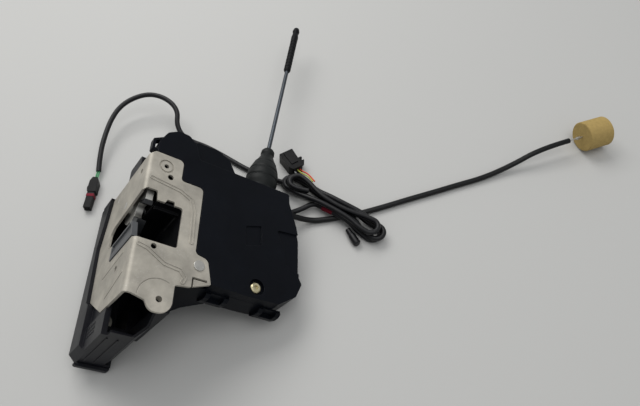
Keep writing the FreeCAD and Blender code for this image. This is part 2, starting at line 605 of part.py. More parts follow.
def rear_shell():
    wall = WALL
    outer = prism(shell_outline(), "z", -SHELL_DEEP, -COVER_SKIRT - SHELL_JOIN)
    outer = outer.common(prism(shell_section(-COVER_SKIRT - SHELL_JOIN), "y", -20, 160))
    inner = prism(shell_outline().makeOffset2D(-wall), "z", -SHELL_DEEP - 1, 10)
    inner = inner.common(prism(shell_section(12).makeOffset2D(-wall), "y", -20, 160))
    lobe = prism(lobe_edge(), "z", -COVER_SKIRT - SHELL_JOIN - 0.5, -LOBE_FRONT)
    lobe = lobe.common(block(38, 90, COVER_TOP + 1, COVER_TOP + 40, -12, 0))
    lobe = lobe.cut(block(38, 90, COVER_TOP - 10, COVER_TOP + 40, -12, -LOBE_FRONT - wall).common(inner))
    shell = fused([outer.cut(inner.cut(block(38, 90, COVER_TOP + 1, COVER_TOP + 40, -9, 12))), lobe])
    floor = -SHELL_DEPTH + wall
    boss = peg("z", COVER_SCREW, 5, floor - 0.5, -COVER_SKIRT - SHELL_JOIN)
    collar_start = ROD_FOOT - rod_direction() * 1.0
    collar = Part.makeCylinder(COLLAR_RADIUS, 5.0, collar_start, rod_direction())
    cradle = [block(39, 62, y, y + 3, -56, WHEEL_BACK - 5) for y in (MOTOR_LOW + 4, MOTOR_HIGH - 7)]
    seats = [peg("z", spot, PIN_RADIUS + 2, -36, seat) for spot, seat in pin_seats()]
    inside = [piece.common(outer) for piece in cradle + seats]
    shell = fused([shell, boss, collar] + inside + snap_hooks())
    motor_room = peg("y", ((WHEEL_BACK + WHEEL_FRONT) / 2, motor_x()), MOTOR_RADIUS + FIT, MOTOR_LOW, MOTOR_HIGH)
    shell = shell.cut(motor_room).cut(peg("z", COVER_SCREW, 1.6, floor - 1, 0))
    rod_hole = Part.makeCylinder(ROD_RADIUS + 1.5, 20, ROD_FOOT - rod_direction() * 10, rod_direction())
    ferrule_hole = peg("x", (cable_y(), CABLE_Z), FERRULE_RADIUS + RUNNING, 125, 150)
    grommet_hole = peg("x", (GROMMET_Y, GROMMET_Z), GROMMET_RADIUS + RUNNING, 122, 150)
    return shell.cut(rod_hole).cut(ferrule_hole).cut(grommet_hole)


def snap_hooks():
    """Two spring tongues under the rear shell that clip over the front cover's skirt."""
    hooks = []
    for left, right in ((66.5, 86.5), (114, 134)):
        low = COVER_BOTTOM
        side = [(low + 1, -28), (low + 1, -12), (low - 2.2, -10.5), (low - 4.4, -14, 1), (low - 4.4, -20, 1),
                (low - 2.2, -28, 1)]
        hook = prism(side, "x", left, right)
        hooks.append(hook.cut(block(left + 4, right - 4, low - 6, low - 1, -20, -9)))
    return hooks


def rod_direction():
    return Vector(ROD_RUN).normalize()


def motor_x():
    return WHEEL_CENTRE[0] - WHEEL_RADIUS - MESH_GAP - WORM_RADIUS


def cable_y():
    return RELEASE_PIVOT[1] + CABLE_ARM


def cover_screws():
    seat = -3.4
    head = turned([(0, 4.6), (1.6, 4.6), (2.4, 3.6)], Vector(*COVER_SCREW, seat), AXES["z"])
    shank = peg("z", COVER_SCREW, 1.55, -SHELL_DEPTH + 6, seat)
    return head.fuse(shank).cut(peg("z", COVER_SCREW, 1.9, seat + 0.8, 1))


def latch_turn(radius, angle):
    """Point (y, z) at a distance from the latch's pivot; angle 0 is towards z, 90 towards y."""
    turn = math.radians(angle)
    return (LATCH_PIVOT[0] + radius * math.sin(turn), LATCH_PIVOT[1] + radius * math.cos(turn))


def latch_sector(radius, first, last, inner=0):
    return sector(LATCH_PIVOT, radius, 90 - last, 90 - first, inner)


def jaw(width, low, high):
    return stroke([latch_turn(JAW_REACH, JAW_ANGLE), latch_turn(JAW_REACH + 25, JAW_ANGLE)], width, "x", low, high)


def rotary_latch():
    """Steel fork that catches the striker, drawn open."""
    hub = peg("x", LATCH_PIVOT, LATCH_HUB, LATCH_FRONT, LATCH_BACK)
    arms = prism(latch_sector(LATCH_REACH, ARM_START, ARM_END), "x", LATCH_FRONT, LATCH_BACK)
    land = prism(latch_sector(LATCH_LAND, LAND_START, LAND_END), "x", LATCH_FRONT, LATCH_BACK)
    lug = peg("x", (54.4, -47.5), 1.5, LATCH_BACK, LATCH_BACK + 4)
    latch = fused([hub, arms, land, lug]).cut(jaw(JAW_WIDTH, LATCH_FRONT - 1, LATCH_BACK + 1))
    return latch.cut(peg("x", LATCH_PIVOT, LATCH_STUD + RUNNING, 0, LATCH_BACK + 1))


def latch_coating(core):
    """Plastic moulded round the fork's two arms, leaving the steel bare at its upper corner."""
    low = LATCH_FRONT - COATING
    high = LATCH_BACK + COATING
    coat = prism(latch_sector(LATCH_REACH + COATING + 0.3, ARM_START - 1, ARM_END - 27, LATCH_LAND + 1),
                 "x", low, high)
    return coat.cut(jaw(JAW_WIDTH - 2 * COATING, low - 1, high + 1)).cut(core)


def pawl():
    """Lever that holds the closed fork; its nose rides just off the fork's land."""
    arm = prism([(87, -70), (79.5, -70), (79.5, -42.5), (83, -41.8, 1), (86, -46, 3), (87, -66)], "x",
                LATCH_FRONT, LATCH_BACK)
    arm = arm.cut(peg("x", LATCH_PIVOT, LATCH_LAND + 3, LATCH_FRONT - 1, LATCH_BACK + 1))
    nose = prism(latch_sector(LATCH_LAND + 5, NOSE_ANGLE - 5.5, NOSE_ANGLE + 5.5, LATCH_LAND + NOSE_GAP), "x",
                 LATCH_FRONT, LATCH_BACK)
    hub = peg("x", PAWL_PIVOT, PAWL_STUD + 3, LATCH_FRONT, LATCH_BACK)
    tail = stroke([PAWL_PIVOT, (80.2, -80)], 5, "x", LATCH_FRONT, LATCH_BACK)
    lug = peg("x", (80.2, -80), 1.8, LATCH_BACK, LATCH_BACK + 5)
    solid = fused([arm, nose, hub, tail, lug])
    return solid.cut(peg("x", PAWL_PIVOT, PAWL_STUD + RUNNING, 0, LATCH_BACK + 1))


def pivot_stud(pivot, radius, rivet):
    """Shouldered stud riveted into the plate at one end and the pivot plate at the other."""
    across = Vector(0, *pivot)
    end = PIVOT_PLATE_X
    return turned([(0, rivet), (SHEET + RUNNING, rivet), (SHEET + RUNNING, radius + 1.5),
                   (LATCH_FRONT - 0.1, radius + 1.5), (LATCH_FRONT - 0.1, radius), (end - RUNNING, radius),
                   (end - RUNNING, rivet), (end + PIVOT_PLATE + 0.3, rivet)], across, AXES["x"])


def pivot_plate():
    """Steel plate behind the fork that holds the far ends of both studs."""
    plate = prism([(53, -SHEET - FIT), (BOX_TOP - WALL - FIT, -SHEET - FIT), (BOX_TOP - WALL - FIT, -84, 4),
                   (74, -84, 4), (53, -58, 4)], "x", PIVOT_PLATE_X, PIVOT_PLATE_X + PIVOT_PLATE)
    for pivot, rivet in ((LATCH_PIVOT, 3), (PAWL_PIVOT, 2)):
        plate = plate.cut(peg("x", pivot, rivet + RUNNING, PIVOT_PLATE_X - 1, PIVOT_PLATE_X + 3))
    return plate


def torsion_spring(pivot, coil_radius, wire, first_x, turns, legs):
    """Coil round a stud, wound from its side towards z, with a straight leg at each end."""
    pitch = 2 * wire + 0.1
    helix = Part.makeHelix(pitch, pitch * turns, coil_radius)
    ring = Part.Wire(Part.makeCircle(wire, Vector(coil_radius, 0, 0), Vector(0, 1, 0)))
    coil = Part.Wire(helix.Edges).makePipeShell([ring], True, True)
    coil.Placement = Placement(Vector(), Rotation(AXES["z"], 90))
    pieces = [coil]
    for turn, side, length in ((0, -1, legs[0]), (turns, 1, legs[1])):
        angle = math.pi / 2 + turn * 2 * math.pi
        foot = Vector(coil_radius * math.cos(angle), coil_radius * math.sin(angle), turn * pitch)
        along = Vector(-math.sin(angle), math.cos(angle), 0) * side
        pieces.append(Part.makeCylinder(wire, length, foot, along))
        pieces.append(Part.makeSphere(wire, foot))
    spring = fused(pieces)
    spring.Placement = Placement(Vector(first_x, *pivot), TURNS["x"])
    return spring


def motor():
    axis_z = (WHEEL_BACK + WHEEL_FRONT) / 2
    can = turned([(0, MOTOR_RADIUS - 1), (1, MOTOR_RADIUS), (30, MOTOR_RADIUS), (31, MOTOR_RADIUS - 1), (31, 4),
                  (MOTOR_HIGH - MOTOR_LOW - 2 * FIT, 4)], Vector(motor_x(), MOTOR_LOW + FIT, axis_z), AXES["y"])
    return can


def worm():
    """Worm on the motor's shaft; its turns are drawn as rings."""
    shaft = [(0, 1.4), (4, 1.4)]
    turns = int((WORM_LENGTH - 6) / 2.4)
    for turn in range(turns):
        start = 4 + turn * 2.4
        shaft += [(start + 0.3, WORM_RADIUS - 1.4), (start + 1.0, WORM_RADIUS), (start + 1.5, WORM_RADIUS),
                  (start + 2.2, WORM_RADIUS - 1.4)]
    shaft += [(WORM_LENGTH - 1.5, 1.4), (WORM_LENGTH, 1.4)]
    base = Vector(motor_x(), MOTOR_HIGH + FIT, (WHEEL_BACK + WHEEL_FRONT) / 2)
    return turned(shaft, base, AXES["y"])


def worm_wheel():
    wheel = prism(gear(WHEEL_CENTRE, WHEEL_RADIUS, TOOTH, WHEEL_TEETH), "z", WHEEL_BACK, WHEEL_FRONT)
    pinion = prism(gear(WHEEL_CENTRE, PINION_RADIUS, TOOTH, PINION_TEETH), "z", WHEEL_FRONT, LOCK_LEVER_BACK + 4)
    rim = peg("z", WHEEL_CENTRE, WHEEL_RADIUS - 4, WHEEL_FRONT - 1.2, WHEEL_FRONT)
    rim = rim.cut(peg("z", WHEEL_CENTRE, PINION_RADIUS + 1, WHEEL_BACK, WHEEL_FRONT))
    solid = fused([wheel, pinion]).cut(rim)
    return solid.cut(peg("z", WHEEL_CENTRE, PIN_RADIUS + RUNNING, WHEEL_BACK - 1, 0))


def sector_radius():
    across = WHEEL_CENTRE[0] - LOCK_PIVOT[0]
    along = WHEEL_CENTRE[1] - LOCK_PIVOT[1]
    return math.hypot(across, along) - PINION_RADIUS - MESH_GAP


def lock_lever():
    """Toothed lever between the drive wheel's pinion and the lock rod's hook."""
    low = LOCK_LEVER_BACK
    high = low + LEVER_SHEET
    mesh = math.degrees(math.atan2(WHEEL_CENTRE[1] - LOCK_PIVOT[1], WHEEL_CENTRE[0] - LOCK_PIVOT[0]))
    fan = prism(sector(LOCK_PIVOT, sector_radius(), mesh - 8, mesh + 38), "z", low, high)
    rack = prism(gear(LOCK_PIVOT, sector_radius() + 2, TOOTH + 2, 34), "z", low - 1, high + 1)
    ring = peg("z", LOCK_PIVOT, sector_radius() + 3, low - 1, high + 1).cut(rack)
    fan = fan.cut(ring)
    hub = peg("z", LOCK_PIVOT, PIN_RADIUS + 3.5, low, high)
    reach = Vector(ROD_PIN.x - LOCK_PIVOT[0], ROD_PIN.y - LOCK_PIVOT[1], 0)
    along = Vector(reach).normalize()

    def spot(distance):
        return (LOCK_PIVOT[0] + along.x * distance, LOCK_PIVOT[1] + along.y * distance)

    arm = stroke([LOCK_PIVOT, spot(reach.Length + 1)], 9, "z", low, high)
    slot = stroke([spot(reach.Length - 2.5), spot(reach.Length + 12)], 2 * ROD_RADIUS + 1, "z", low - 1, high + 1)
    solid = fused([fan, hub, arm]).cut(slot)
    return solid.cut(peg("z", LOCK_PIVOT, PIN_RADIUS + RUNNING, low - 1, high + 1))


def pin_seats():
    """Where each pin stands, with the height of the boss below its lever or wheel."""
    return (
        (LOCK_PIVOT, LOCK_LEVER_BACK - FIT),
        (WHEEL_CENTRE, WHEEL_BACK - FIT),
        (RELEASE_PIVOT, RELEASE_BACK - FIT),
    )


def drive_pins():
    return Part.makeCompound([peg("z", spot, PIN_RADIUS, seat, -COVER_SHEET - FIT) for spot, seat in pin_seats()])


def rod_start():
    return ROD_FOOT - rod_direction() * ((ROD_FOOT.y - ROD_PIN.y) / rod_direction().y)


def lock_rod():
    start = rod_start()
    rod = Part.makeCylinder(ROD_RADIUS, ROD_LENGTH, start, rod_direction())
    hook = peg("z", (start.x, start.y), ROD_RADIUS, LOCK_LEVER_BACK - 1.6, start.z)
    elbow = Part.makeSphere(ROD_RADIUS, start)
    return fused([rod, hook, elbow])


def rod_sleeve():
    """Ribbed grip pressed over the rod's upper end, with a ball tip."""
    profile = [(0, 2.6), (2.5, SLEEVE_RADIUS)]
    for rib in range(9):
        along = 5 + rib * 5
        profile += [(along, SLEEVE_RADIUS), (along + 0.7, SLEEVE_RADIUS - 0.6), (along + 1.6, SLEEVE_RADIUS - 0.6),
                    (along + 2.3, SLEEVE_RADIUS)]
    profile += [(56, SLEEVE_RADIUS + 0.2), (62, SLEEVE_RADIUS - 0.6), (66, SLEEVE_RADIUS + 0.2),
                (70, SLEEVE_RADIUS - 0.6), (SLEEVE_LENGTH, 1.6)]
    overlap = SLEEVE_LENGTH - 14
    base = rod_start() + rod_direction() * (ROD_LENGTH - overlap)
    grip = turned(profile, base, rod_direction())
    bore = Part.makeCylinder(ROD_RADIUS + RUNNING, overlap + RUNNING, base, rod_direction())
    return grip.cut(bore)


def rod_boot():
    """Rubber gaiter where the rod leaves the housing."""
    wide = BOOT_RADIUS
    outer = [(-4, BOOT_BASE), (1.5, BOOT_BASE), (2, BOOT_BASE + 1.4), (3.6, BOOT_BASE + 1.4), (4.2, BOOT_BASE + 0.6),
             (9, wide - 0.3), (13, wide), (14.4, wide - 0.9), (15.8, wide - 0.2), (22, wide - 0.6), (23.4, wide - 1.6),
             (24.8, wide - 1.2), (31, wide - 3.2), (32.4, wide - 4.2), (33.8, wide - 4.2), (39, wide - 7.0),
             (43, 6.4), (45, 5.9), (46.6, 6.6), (BOOT_HEIGHT - 2, 6.3), (BOOT_HEIGHT, 5.0)]
    inner = [(along, radius - BOOT_WALL - 0.4) for along, radius in outer[:16]]
    inner += [(43, 4.6), (BOOT_HEIGHT - 3, ROD_RADIUS + FIT)]
    shape = turned(outer, ROD_FOOT, rod_direction()).cut(turned(inner, ROD_FOOT, rod_direction()))
    shape = shape.cut(Part.makeCylinder(ROD_RADIUS + FIT, 80, ROD_FOOT, rod_direction()))
    below = block(60, 160, COVER_TOP - 20, COVER_TOP + 0.05, -60, 30)
    return shape.cut(below)


def release_lever():
    low = RELEASE_BACK
    high = low + LEVER_SHEET
    x, y = RELEASE_PIVOT
    hub = peg("z", RELEASE_PIVOT, PIN_RADIUS + 3.5, low, high)
    up = stroke([RELEASE_PIVOT, (x, y + CABLE_ARM + 1)], 8, "z", low, high)
    slot = stroke([(x, y + CABLE_ARM - 0.6), (x, y + CABLE_ARM + 14)], 2 * NIPPLE_RADIUS + 1.4, "z", low - 1, high + 1)
    down = stroke([RELEASE_PIVOT, (x, y - LINK_ARM)], 7, "z", low, high)
    stud = peg("z", (x, y - LINK_ARM), 1.5, LINK_BACK - 0.4, low)
    solid = fused([hub, up, down, stud]).cut(slot)
    return solid.cut(peg("z", RELEASE_PIVOT, PIN_RADIUS + RUNNING, low - 1, high + 1))


def release_link():
    """Flat strip that carries the inside release across to the latch."""
    x = RELEASE_PIVOT[0]
    y = RELEASE_PIVOT[1] - LINK_ARM
    high = LINK_BACK + LINK_SHEET
    strip = block(x - LINK_LENGTH, x, y - 4, y + 4, LINK_BACK, high)
    head = prism([(x - 6, y - 5.5, 2), (x + 5.5, y - 5.5, 2), (x + 5.5, y + 8.5, 2), (x - 6, y + 8.5, 2)], "z",
                 LINK_BACK, high)
    slot = block(x - 2.4, x + 2.4, y - 2.2, y + 5.5, LINK_BACK - 1, high + 1)
    step = block(x - LINK_LENGTH + 6, x - LINK_LENGTH + 18, y - 1.5, y + 1.5, LINK_BACK - 1, high + 1)
    return fused([strip, head]).cut(slot).cut(step)


def cable_ferrule():
    start = Vector(FERRULE_START, cable_y(), CABLE_Z)
    flange = FERRULE_FLANGE
    body = turned([(0, FERRULE_RADIUS), (flange, FERRULE_RADIUS), (flange, 4.4), (flange + 3, 4.4),
                   (flange + 3, FERRULE_RADIUS), (FERRULE_LENGTH - 3, FERRULE_RADIUS), (FERRULE_LENGTH, 3.3)],
                  start, AXES["x"])
    body = body.cut(Part.makeCylinder(CONDUIT_RADIUS, 50, start - AXES["x"], AXES["x"]))
    seat = start + AXES["x"] * (FERRULE_LENGTH - SHEATH_SEAT)
    return body.cut(Part.makeCylinder(SHEATH_RADIUS + RUNNING, 50, seat, AXES["x"]))


def inner_cable():
    """Nipple on the release lever and the stretch of wire between it and the ferrule."""
    x = RELEASE_PIVOT[0]
    nipple = peg("z", (x, cable_y()), NIPPLE_RADIUS, CABLE_Z - 1.2, RELEASE_BACK + LEVER_SHEET)
    wire = peg("x", (cable_y(), CABLE_Z), WIRE_RADIUS, x, FERRULE_START + FERRULE_LENGTH - SHEATH_SEAT)
    return fused([nipple, wire])


def outside_lever():
    low = OUTSIDE_X
    high = low + 2.5
    pull = (OUTSIDE_PIVOT[0] - 22, OUTSIDE_PIVOT[1] - 5)
    down = stroke([OUTSIDE_PIVOT, pull], 8, "x", low, high)
    up = stroke([OUTSIDE_PIVOT, (OUTSIDE_PIVOT[0] + 13, OUTSIDE_PIVOT[1] + 2)], 6, "x", low, high)
    lever = fused([down, up]).cut(peg("x", OUTSIDE_PIVOT, PIN_RADIUS + RUNNING, low - 1, high + 1))
    return lever.cut(peg("x", pull, 2.2, low - 1, high + 1))


def outside_pin():
    pin = peg("x", OUTSIDE_PIVOT, PIN_RADIUS, OUTSIDE_X - 1.5, BOX_RIGHT - WALL)
    return pin.fuse(peg("x", OUTSIDE_PIVOT, PIN_RADIUS + 1.2, OUTSIDE_X - 1.5, OUTSIDE_X - 0.1))


def key_cam():
    low = -BOX_DEPTH - BACK_COVER + 0.5
    hub = peg("z", (CAM_X, CAM_Y), CAM_RADIUS, low, low + 12)
    arm = stroke([(CAM_X, CAM_Y), (CAM_X, CAM_Y + 12)], 6, "z", low + 9, low + 12)
    blade = block(CAM_X - 1.4, CAM_X + 1.4, CAM_Y - 5, CAM_Y + 5, low - 1, low + 7)
    return fused([hub, arm]).cut(blade)


def latch_sensor():
    top = MOUTH_BOTTOM - POCKET_WALL
    case = block(POCKET_LEFT + 2, 31, top - 8, top, -58, -38)
    return case.makeFillet(0.8, [edge for edge in case.Edges if abs(edge.tangentAt(edge.FirstParameter).x) > 0.9])


def contact_board():
    floor = -SHELL_DEPTH + WALL
    board = block(92, 134, 10, 50, floor, floor + 1.6)
    return board.cut(peg("z", COVER_SCREW, 6, floor - 1, 0))


def lock_switch():
    floor = -SHELL_DEPTH + WALL
    case = block(94, 106, 55, 67, floor, floor + 9)
    return case.makeFillet(0.8, [edge for edge in case.Edges if abs(edge.tangentAt(edge.FirstParameter).z) > 0.9])


def harness_grommet():
    start = Vector(GROMMET_START, GROMMET_Y, GROMMET_Z)
    lip = GROMMET_RADIUS + 1.0
    wall = GROMMET_LENGTH - 5.3
    body = turned([(0, GROMMET_RADIUS), (wall, GROMMET_RADIUS), (wall, lip), (wall + 2, lip),
                   (GROMMET_LENGTH, LEAD_RADIUS + 0.5)], start, AXES["x"])
    return body.cut(Part.makeCylinder(LEAD_RADIUS, 50, start - AXES["x"], AXES["x"]))


def cable_heading():
    """Way out of the sheath's far end; the wire and its foam block lie along it."""
    return (SHEATH_ROUTE[-1] - SHEATH_ROUTE[-2]).normalize()


def cable_wire_end():
    start = SHEATH_ROUTE[-1] - cable_heading() * WIRE_GRIP
    reach = WIRE_GRIP + WIRE_SHOWN + FOAM_DEPTH
    wire = Part.makeCylinder(WIRE_RADIUS, reach, start, cable_heading())
    stop = turned([(0, NIPPLE_RADIUS - 0.2), (4, NIPPLE_RADIUS - 0.2)], SHEATH_ROUTE[-1] + cable_heading() * 9.5,
                  cable_heading())
    return wire.fuse(stop)


def foam_plug():
    """Foam block pushed over the wire's free end, as the cable is packed."""
    start = SHEATH_ROUTE[-1] + cable_heading() * WIRE_SHOWN
    edge = FOAM_RADIUS - 0.8
    foam = turned([(0, edge), (0.8, FOAM_RADIUS), (FOAM_LENGTH - 0.8, FOAM_RADIUS), (FOAM_LENGTH, edge)],
                  start, cable_heading())
    return foam.cut(Part.makeCylinder(WIRE_RADIUS, FOAM_DEPTH, start, cable_heading()))


def harness_hank():
    """The harness folded back on itself into a flat bundle, with a channel where it crosses the cable."""
    hank = prism(HANK_EDGE, "z", 0, HANK_HEIGHT)
    hank = hank.makeFillet(HANK_ROUND, [edge for edge in hank.Edges if edge.BoundBox.ZMin > HANK_HEIGHT - 0.01])
    half = SHEATH_RADIUS + HANK_CHANNEL
    for start, stop in zip(SHEATH_ROUTE, SHEATH_ROUTE[1:4]):
        along = Vector(stop - start).normalize()
        side = Vector(-along.y, along.x, 0) * half
        base = start - along * 2
        over = stop + along * 2
        corners = [(spot.x, spot.y) for spot in (base + side, over + side, over - side, base - side)]
        hank = hank.cut(prism(corners, "z", -1, start.z + half))
    return hank


def plug_place():
    return Placement(PLUG_CORNER, Rotation(AXES["z"], PLUG_HEADING))


def harness_connector():
    """Plug housing: two rows of cavities at its free end, a latch along one side, wires at its back."""
    half = PLUG_WIDTH / 2
    body = prism([(0, -half, 0.8), (PLUG_LENGTH - 5, -half, 0.8), (PLUG_LENGTH, -half + 2.5, 0.8),
                  (PLUG_LENGTH, half - 2, 0.8), (0, half, 0.8)], "z", 0.3, PLUG_HEIGHT)
    rib = block(1.5, 9, half - 1, half + 0.9, 4.5, 8)
    latch = prism([(11.5, half - 1), (11.5, half + 3.6, 0.8), (18, half + 3.6, 0.8), (19.5, half - 1)], "z", 2.5, 9.5)
    latch = latch.cut(block(13.2, 16.2, half + 1.2, half + 5, 0, 12))
    rail = block(2, PLUG_LENGTH - 6, -3.5, 3.5, PLUG_HEIGHT - 0.5, PLUG_HEIGHT + 0.9)
    plug = fused([body, rib, latch, rail])
    for row in (2.9, 7.6):
        for column in range(4):
            low = -half + 2.2 + column * 3.0
            plug = plug.cut(block(-1, 7, low, low + PLUG_CAVITY, row, row + PLUG_CAVITY))
    plug.Placement = plug_place()
    return plug


def connector_wires():
    """Thin coloured wires between the plug and the hank."""
    wires = []
    for index, (end_x, end_y, end_z) in enumerate(((92.5, -4.5, 8.0), (96.0, -8.0, 9.5), (98.5, -10.5, 7.0))):
        start = plug_place().multVec(Vector(PLUG_LENGTH, -3.2 + index * 2.8, 6.5 + index % 2))
        reach = Vector(end_x, end_y, end_z) - start
        wires.append(Part.makeCylinder(THIN_WIRE, reach.Length, start, reach))
    return Part.makeCompound(wires)


def branch_connector():
    """Taped end of a short branch, beside the hank."""
    start = Vector(134.5, -56.5, 4.0)
    along = Vector(7.2, -13.2, 0).normalize()
    return turned([(0, 2.6), (5, 2.8), (8, 3.6), (17, 3.6), (18.2, 2.6)], start, along)


def side_wires():
    """Two thin wires between the side lead's sleeve and its plug."""
    start = SIDE_ROUTE[-1]
    wires = []
    for shift in (-0.9, 0.9):
        foot = start + Vector(shift, 0, 0)
        reach = SIDE_PLUG + Vector(shift, 0, 0) - foot
        wires.append(Part.makeCylinder(THIN_WIRE, reach.Length, foot, reach))
    return Part.makeCompound(wires)


def side_connector():
    """Slim two-way plug in two lengths, with a catch at its side."""
    base = SIDE_PLUG
    rear = prism([(-2.2, 0), (2.2, 0), (4.1, -4.5), (4.1, -17, 1), (-4.1, -17, 1), (-4.1, -4.5)], "z", -3.9, 3.9)
    catch = prism([(-3.5, -8.5), (-5.4, -10.5), (-5.4, -13, 0.5), (-3.5, -13.5)], "z", -2, 2)
    front = block(-3.2, 3.2, -SIDE_PLUG_LENGTH, -15, -3.3, 3.3)
    plug = fused([rear, catch, front])
    for shift in (-1.9, 0.5):
        plug = plug.cut(block(shift, shift + 1.4, -SIDE_PLUG_LENGTH - 1, -SIDE_PLUG_LENGTH + 6, -0.7, 0.7))
    plug = plug.cut(side_band_ring())
    plug.Placement = Placement(base, Rotation(AXES["z"], -2.3))
    return plug


def side_band_ring():
    ring = block(-4, 4, -22.5, -19.5, -4, 4)
    return ring.cut(block(-2.7, 2.7, -23, -19, -2.8, 2.8))


def side_band():
    """Coloured secondary lock let into the side plug."""
    band = side_band_ring().common(block(-3.5, 3.5, -23, -19, -3.6, 3.6))
    band.Placement = Placement(SIDE_PLUG, Rotation(AXES["z"], -2.3))
    return band


def tube(name, points, radius, bore=0):
    """Cord along straight runs joined by the largest tangent arcs that two runs allow."""
    spots = [Vector(*point) for point in points]
    edges = []
    last = spots[0]
    turns = []
    for before, spot, after in zip(spots, spots[1:], spots[2:]):
        come = (spot - before).normalize()
        leave = (after - spot).normalize()
        run = min(before.distanceToPoint(spot), spot.distanceToPoint(after))
        half = come.getAngle(leave) / 2
        reach = 0.45 * run
        bend = reach / math.tan(half)
        turns.append(round(bend))
        start = spot - come * reach
        stop = spot + leave * reach
        inward = (leave - come).normalize()
        middle = spot + inward * (bend / math.cos(half) - bend)
        edges.append(Part.LineSegment(last, start).toShape())
        edges.append(Part.Arc(start, middle, stop).toShape())
        last = stop
    edges.append(Part.LineSegment(last, spots[-1]).toShape())
    path = Part.Wire(edges)
    heading = spots[1] - spots[0]
    cord = path.makePipeShell([Part.Wire(Part.makeCircle(radius, spots[0], heading))], True, False)
    area = math.pi * (radius ** 2 - bore ** 2)
    if bore:
        cord = cord.cut(path.makePipeShell([Part.Wire(Part.makeCircle(bore, spots[0], heading))], True, False))
    print(name, "bends", turns, "length", round(path.Length, 1), "volume", round(cord.Volume / area / path.Length, 3))
    return cord


def cord_pieces(place):
    """Cable, harness and the pieces on them where they lie on the table, in the final frame."""
    sheath_start = FERRULE_START + FERRULE_LENGTH - SHEATH_SEAT
    exit_cable = place.multVec(Vector(sheath_start, cable_y(), CABLE_Z))
    exit_lead = place.multVec(Vector(GROMMET_START, GROMMET_Y, GROMMET_Z))
    return {
        "cable_sheath": tube("cable_sheath", [exit_cable] + SHEATH_ROUTE, SHEATH_RADIUS, CONDUIT_RADIUS),
        "cable_wire_end": cable_wire_end(),
        "foam_plug": foam_plug(),
        "harness_lead": tube("harness_lead", [exit_lead] + LEAD_ROUTE, LEAD_RADIUS),
        "harness_hank": harness_hank(),
        "harness_connector": harness_connector(),
        "connector_wires": connector_wires(),
        "branch_connector": branch_connector(),
        "side_lead": tube("side_lead", SIDE_ROUTE, LEAD_RADIUS),
        "side_wires": side_wires(),
        "side_connector": side_connector(),
        "side_band": side_band(),
    }


def lock_pieces():
    core = rotary_latch()
    return {
        "latch_plate": latch_plate(),
        "plate_rivet": plate_rivets(),
        "latch_box": latch_box(),
        "back_cover": back_cover(),
        "striker_pocket": striker_pocket(),
        "striker_buffer": striker_buffer(),
        "striker_guide": striker_guide(),
        "pivot_plate": pivot_plate(),
        "latch_stud": pivot_stud(LATCH_PIVOT, LATCH_STUD, 3),
        "pawl_stud": pivot_stud(PAWL_PIVOT, PAWL_STUD, 2),
        "rotary_latch": core,
        "latch_coating": latch_coating(core),
        "pawl": pawl(),
        "latch_spring": torsion_spring(LATCH_PIVOT, 5.4, 0.65, LATCH_BACK + 1.5, 2.25, (27.3, 9.0)),
        "pawl_spring": torsion_spring(PAWL_PIVOT, 4.3, 0.5, LATCH_BACK + 1.2, 2.25, (7.3, 15.0)),
        "front_cover": front_cover(),
        "rear_shell": rear_shell(),
        "cover_screw": cover_screws(),
        "drive_motor": motor(),
        "drive_worm": worm(),
        "worm_wheel": worm_wheel(),
        "lock_lever": lock_lever(),
        "drive_pins": drive_pins(),
        "lock_rod": lock_rod(),
        "rod_sleeve": rod_sleeve(),
        "rod_boot": rod_boot(),
        "release_lever": release_lever(),
        "release_link": release_link(),
        "cable_ferrule": cable_ferrule(),
        "harness_grommet": harness_grommet(),
        "inner_cable": inner_cable(),
        "outside_lever": outside_lever(),
        "outside_pin": outside_pin(),
        "key_cam": key_cam(),
        "latch_sensor": latch_sensor(),
        "contact_board": contact_board(),
        "lock_switch": lock_switch(),
    }


def tip():
    """Angle at which the lock lies on its back cover's edge and the shell's far edge."""
    drop = BOX_DEPTH + BACK_COVER - SHELL_DEPTH
    return math.degrees(math.atan2(drop, COVER_RIGHT - BOX_RIGHT))


def table_place(pieces):
    """Placement that tips the lock onto the table and centres its box over the origin."""
    turn = Placement(Vector(), Rotation(AXES["y"], tip()))
    box = FreeCAD.BoundBox()
    for piece in pieces.values():
        tipped = piece.copy()
        tipped.Placement = turn * tipped.Placement
        box.add(tipped.optimalBoundingBox())
    shift = Vector(-box.Center.x, -box.Center.y, -box.ZMin)
    return Placement(shift, Rotation()) * turn


def main():
    os.makedirs("parts", exist_ok=True)
    pieces = lock_pieces()
    place = table_place(pieces)
    for piece in pieces.values():
        piece.Placement = place * piece.Placement
    pieces.update(cord_pieces(place))
    for name, piece in pieces.items():
        print(name, len(piece.Solids), piece.isValid(), round(piece.Volume, 1))
        piece.exportStep(f"parts/{name}.step")


main()
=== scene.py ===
# %% [markdown]
# A side door lock of a car lies on a pale table, as it came out of the door. Steel and plastic
# housings carry the mechanism, and a rod, a cable and a wiring harness leave it. The solids come
# from the CAD frame, so every piece here is placed by the frame's own numbers and nothing is fitted.

# %% Load the frame
import json
import math

import bmesh
import bpy
from mathutils import Matrix, Vector


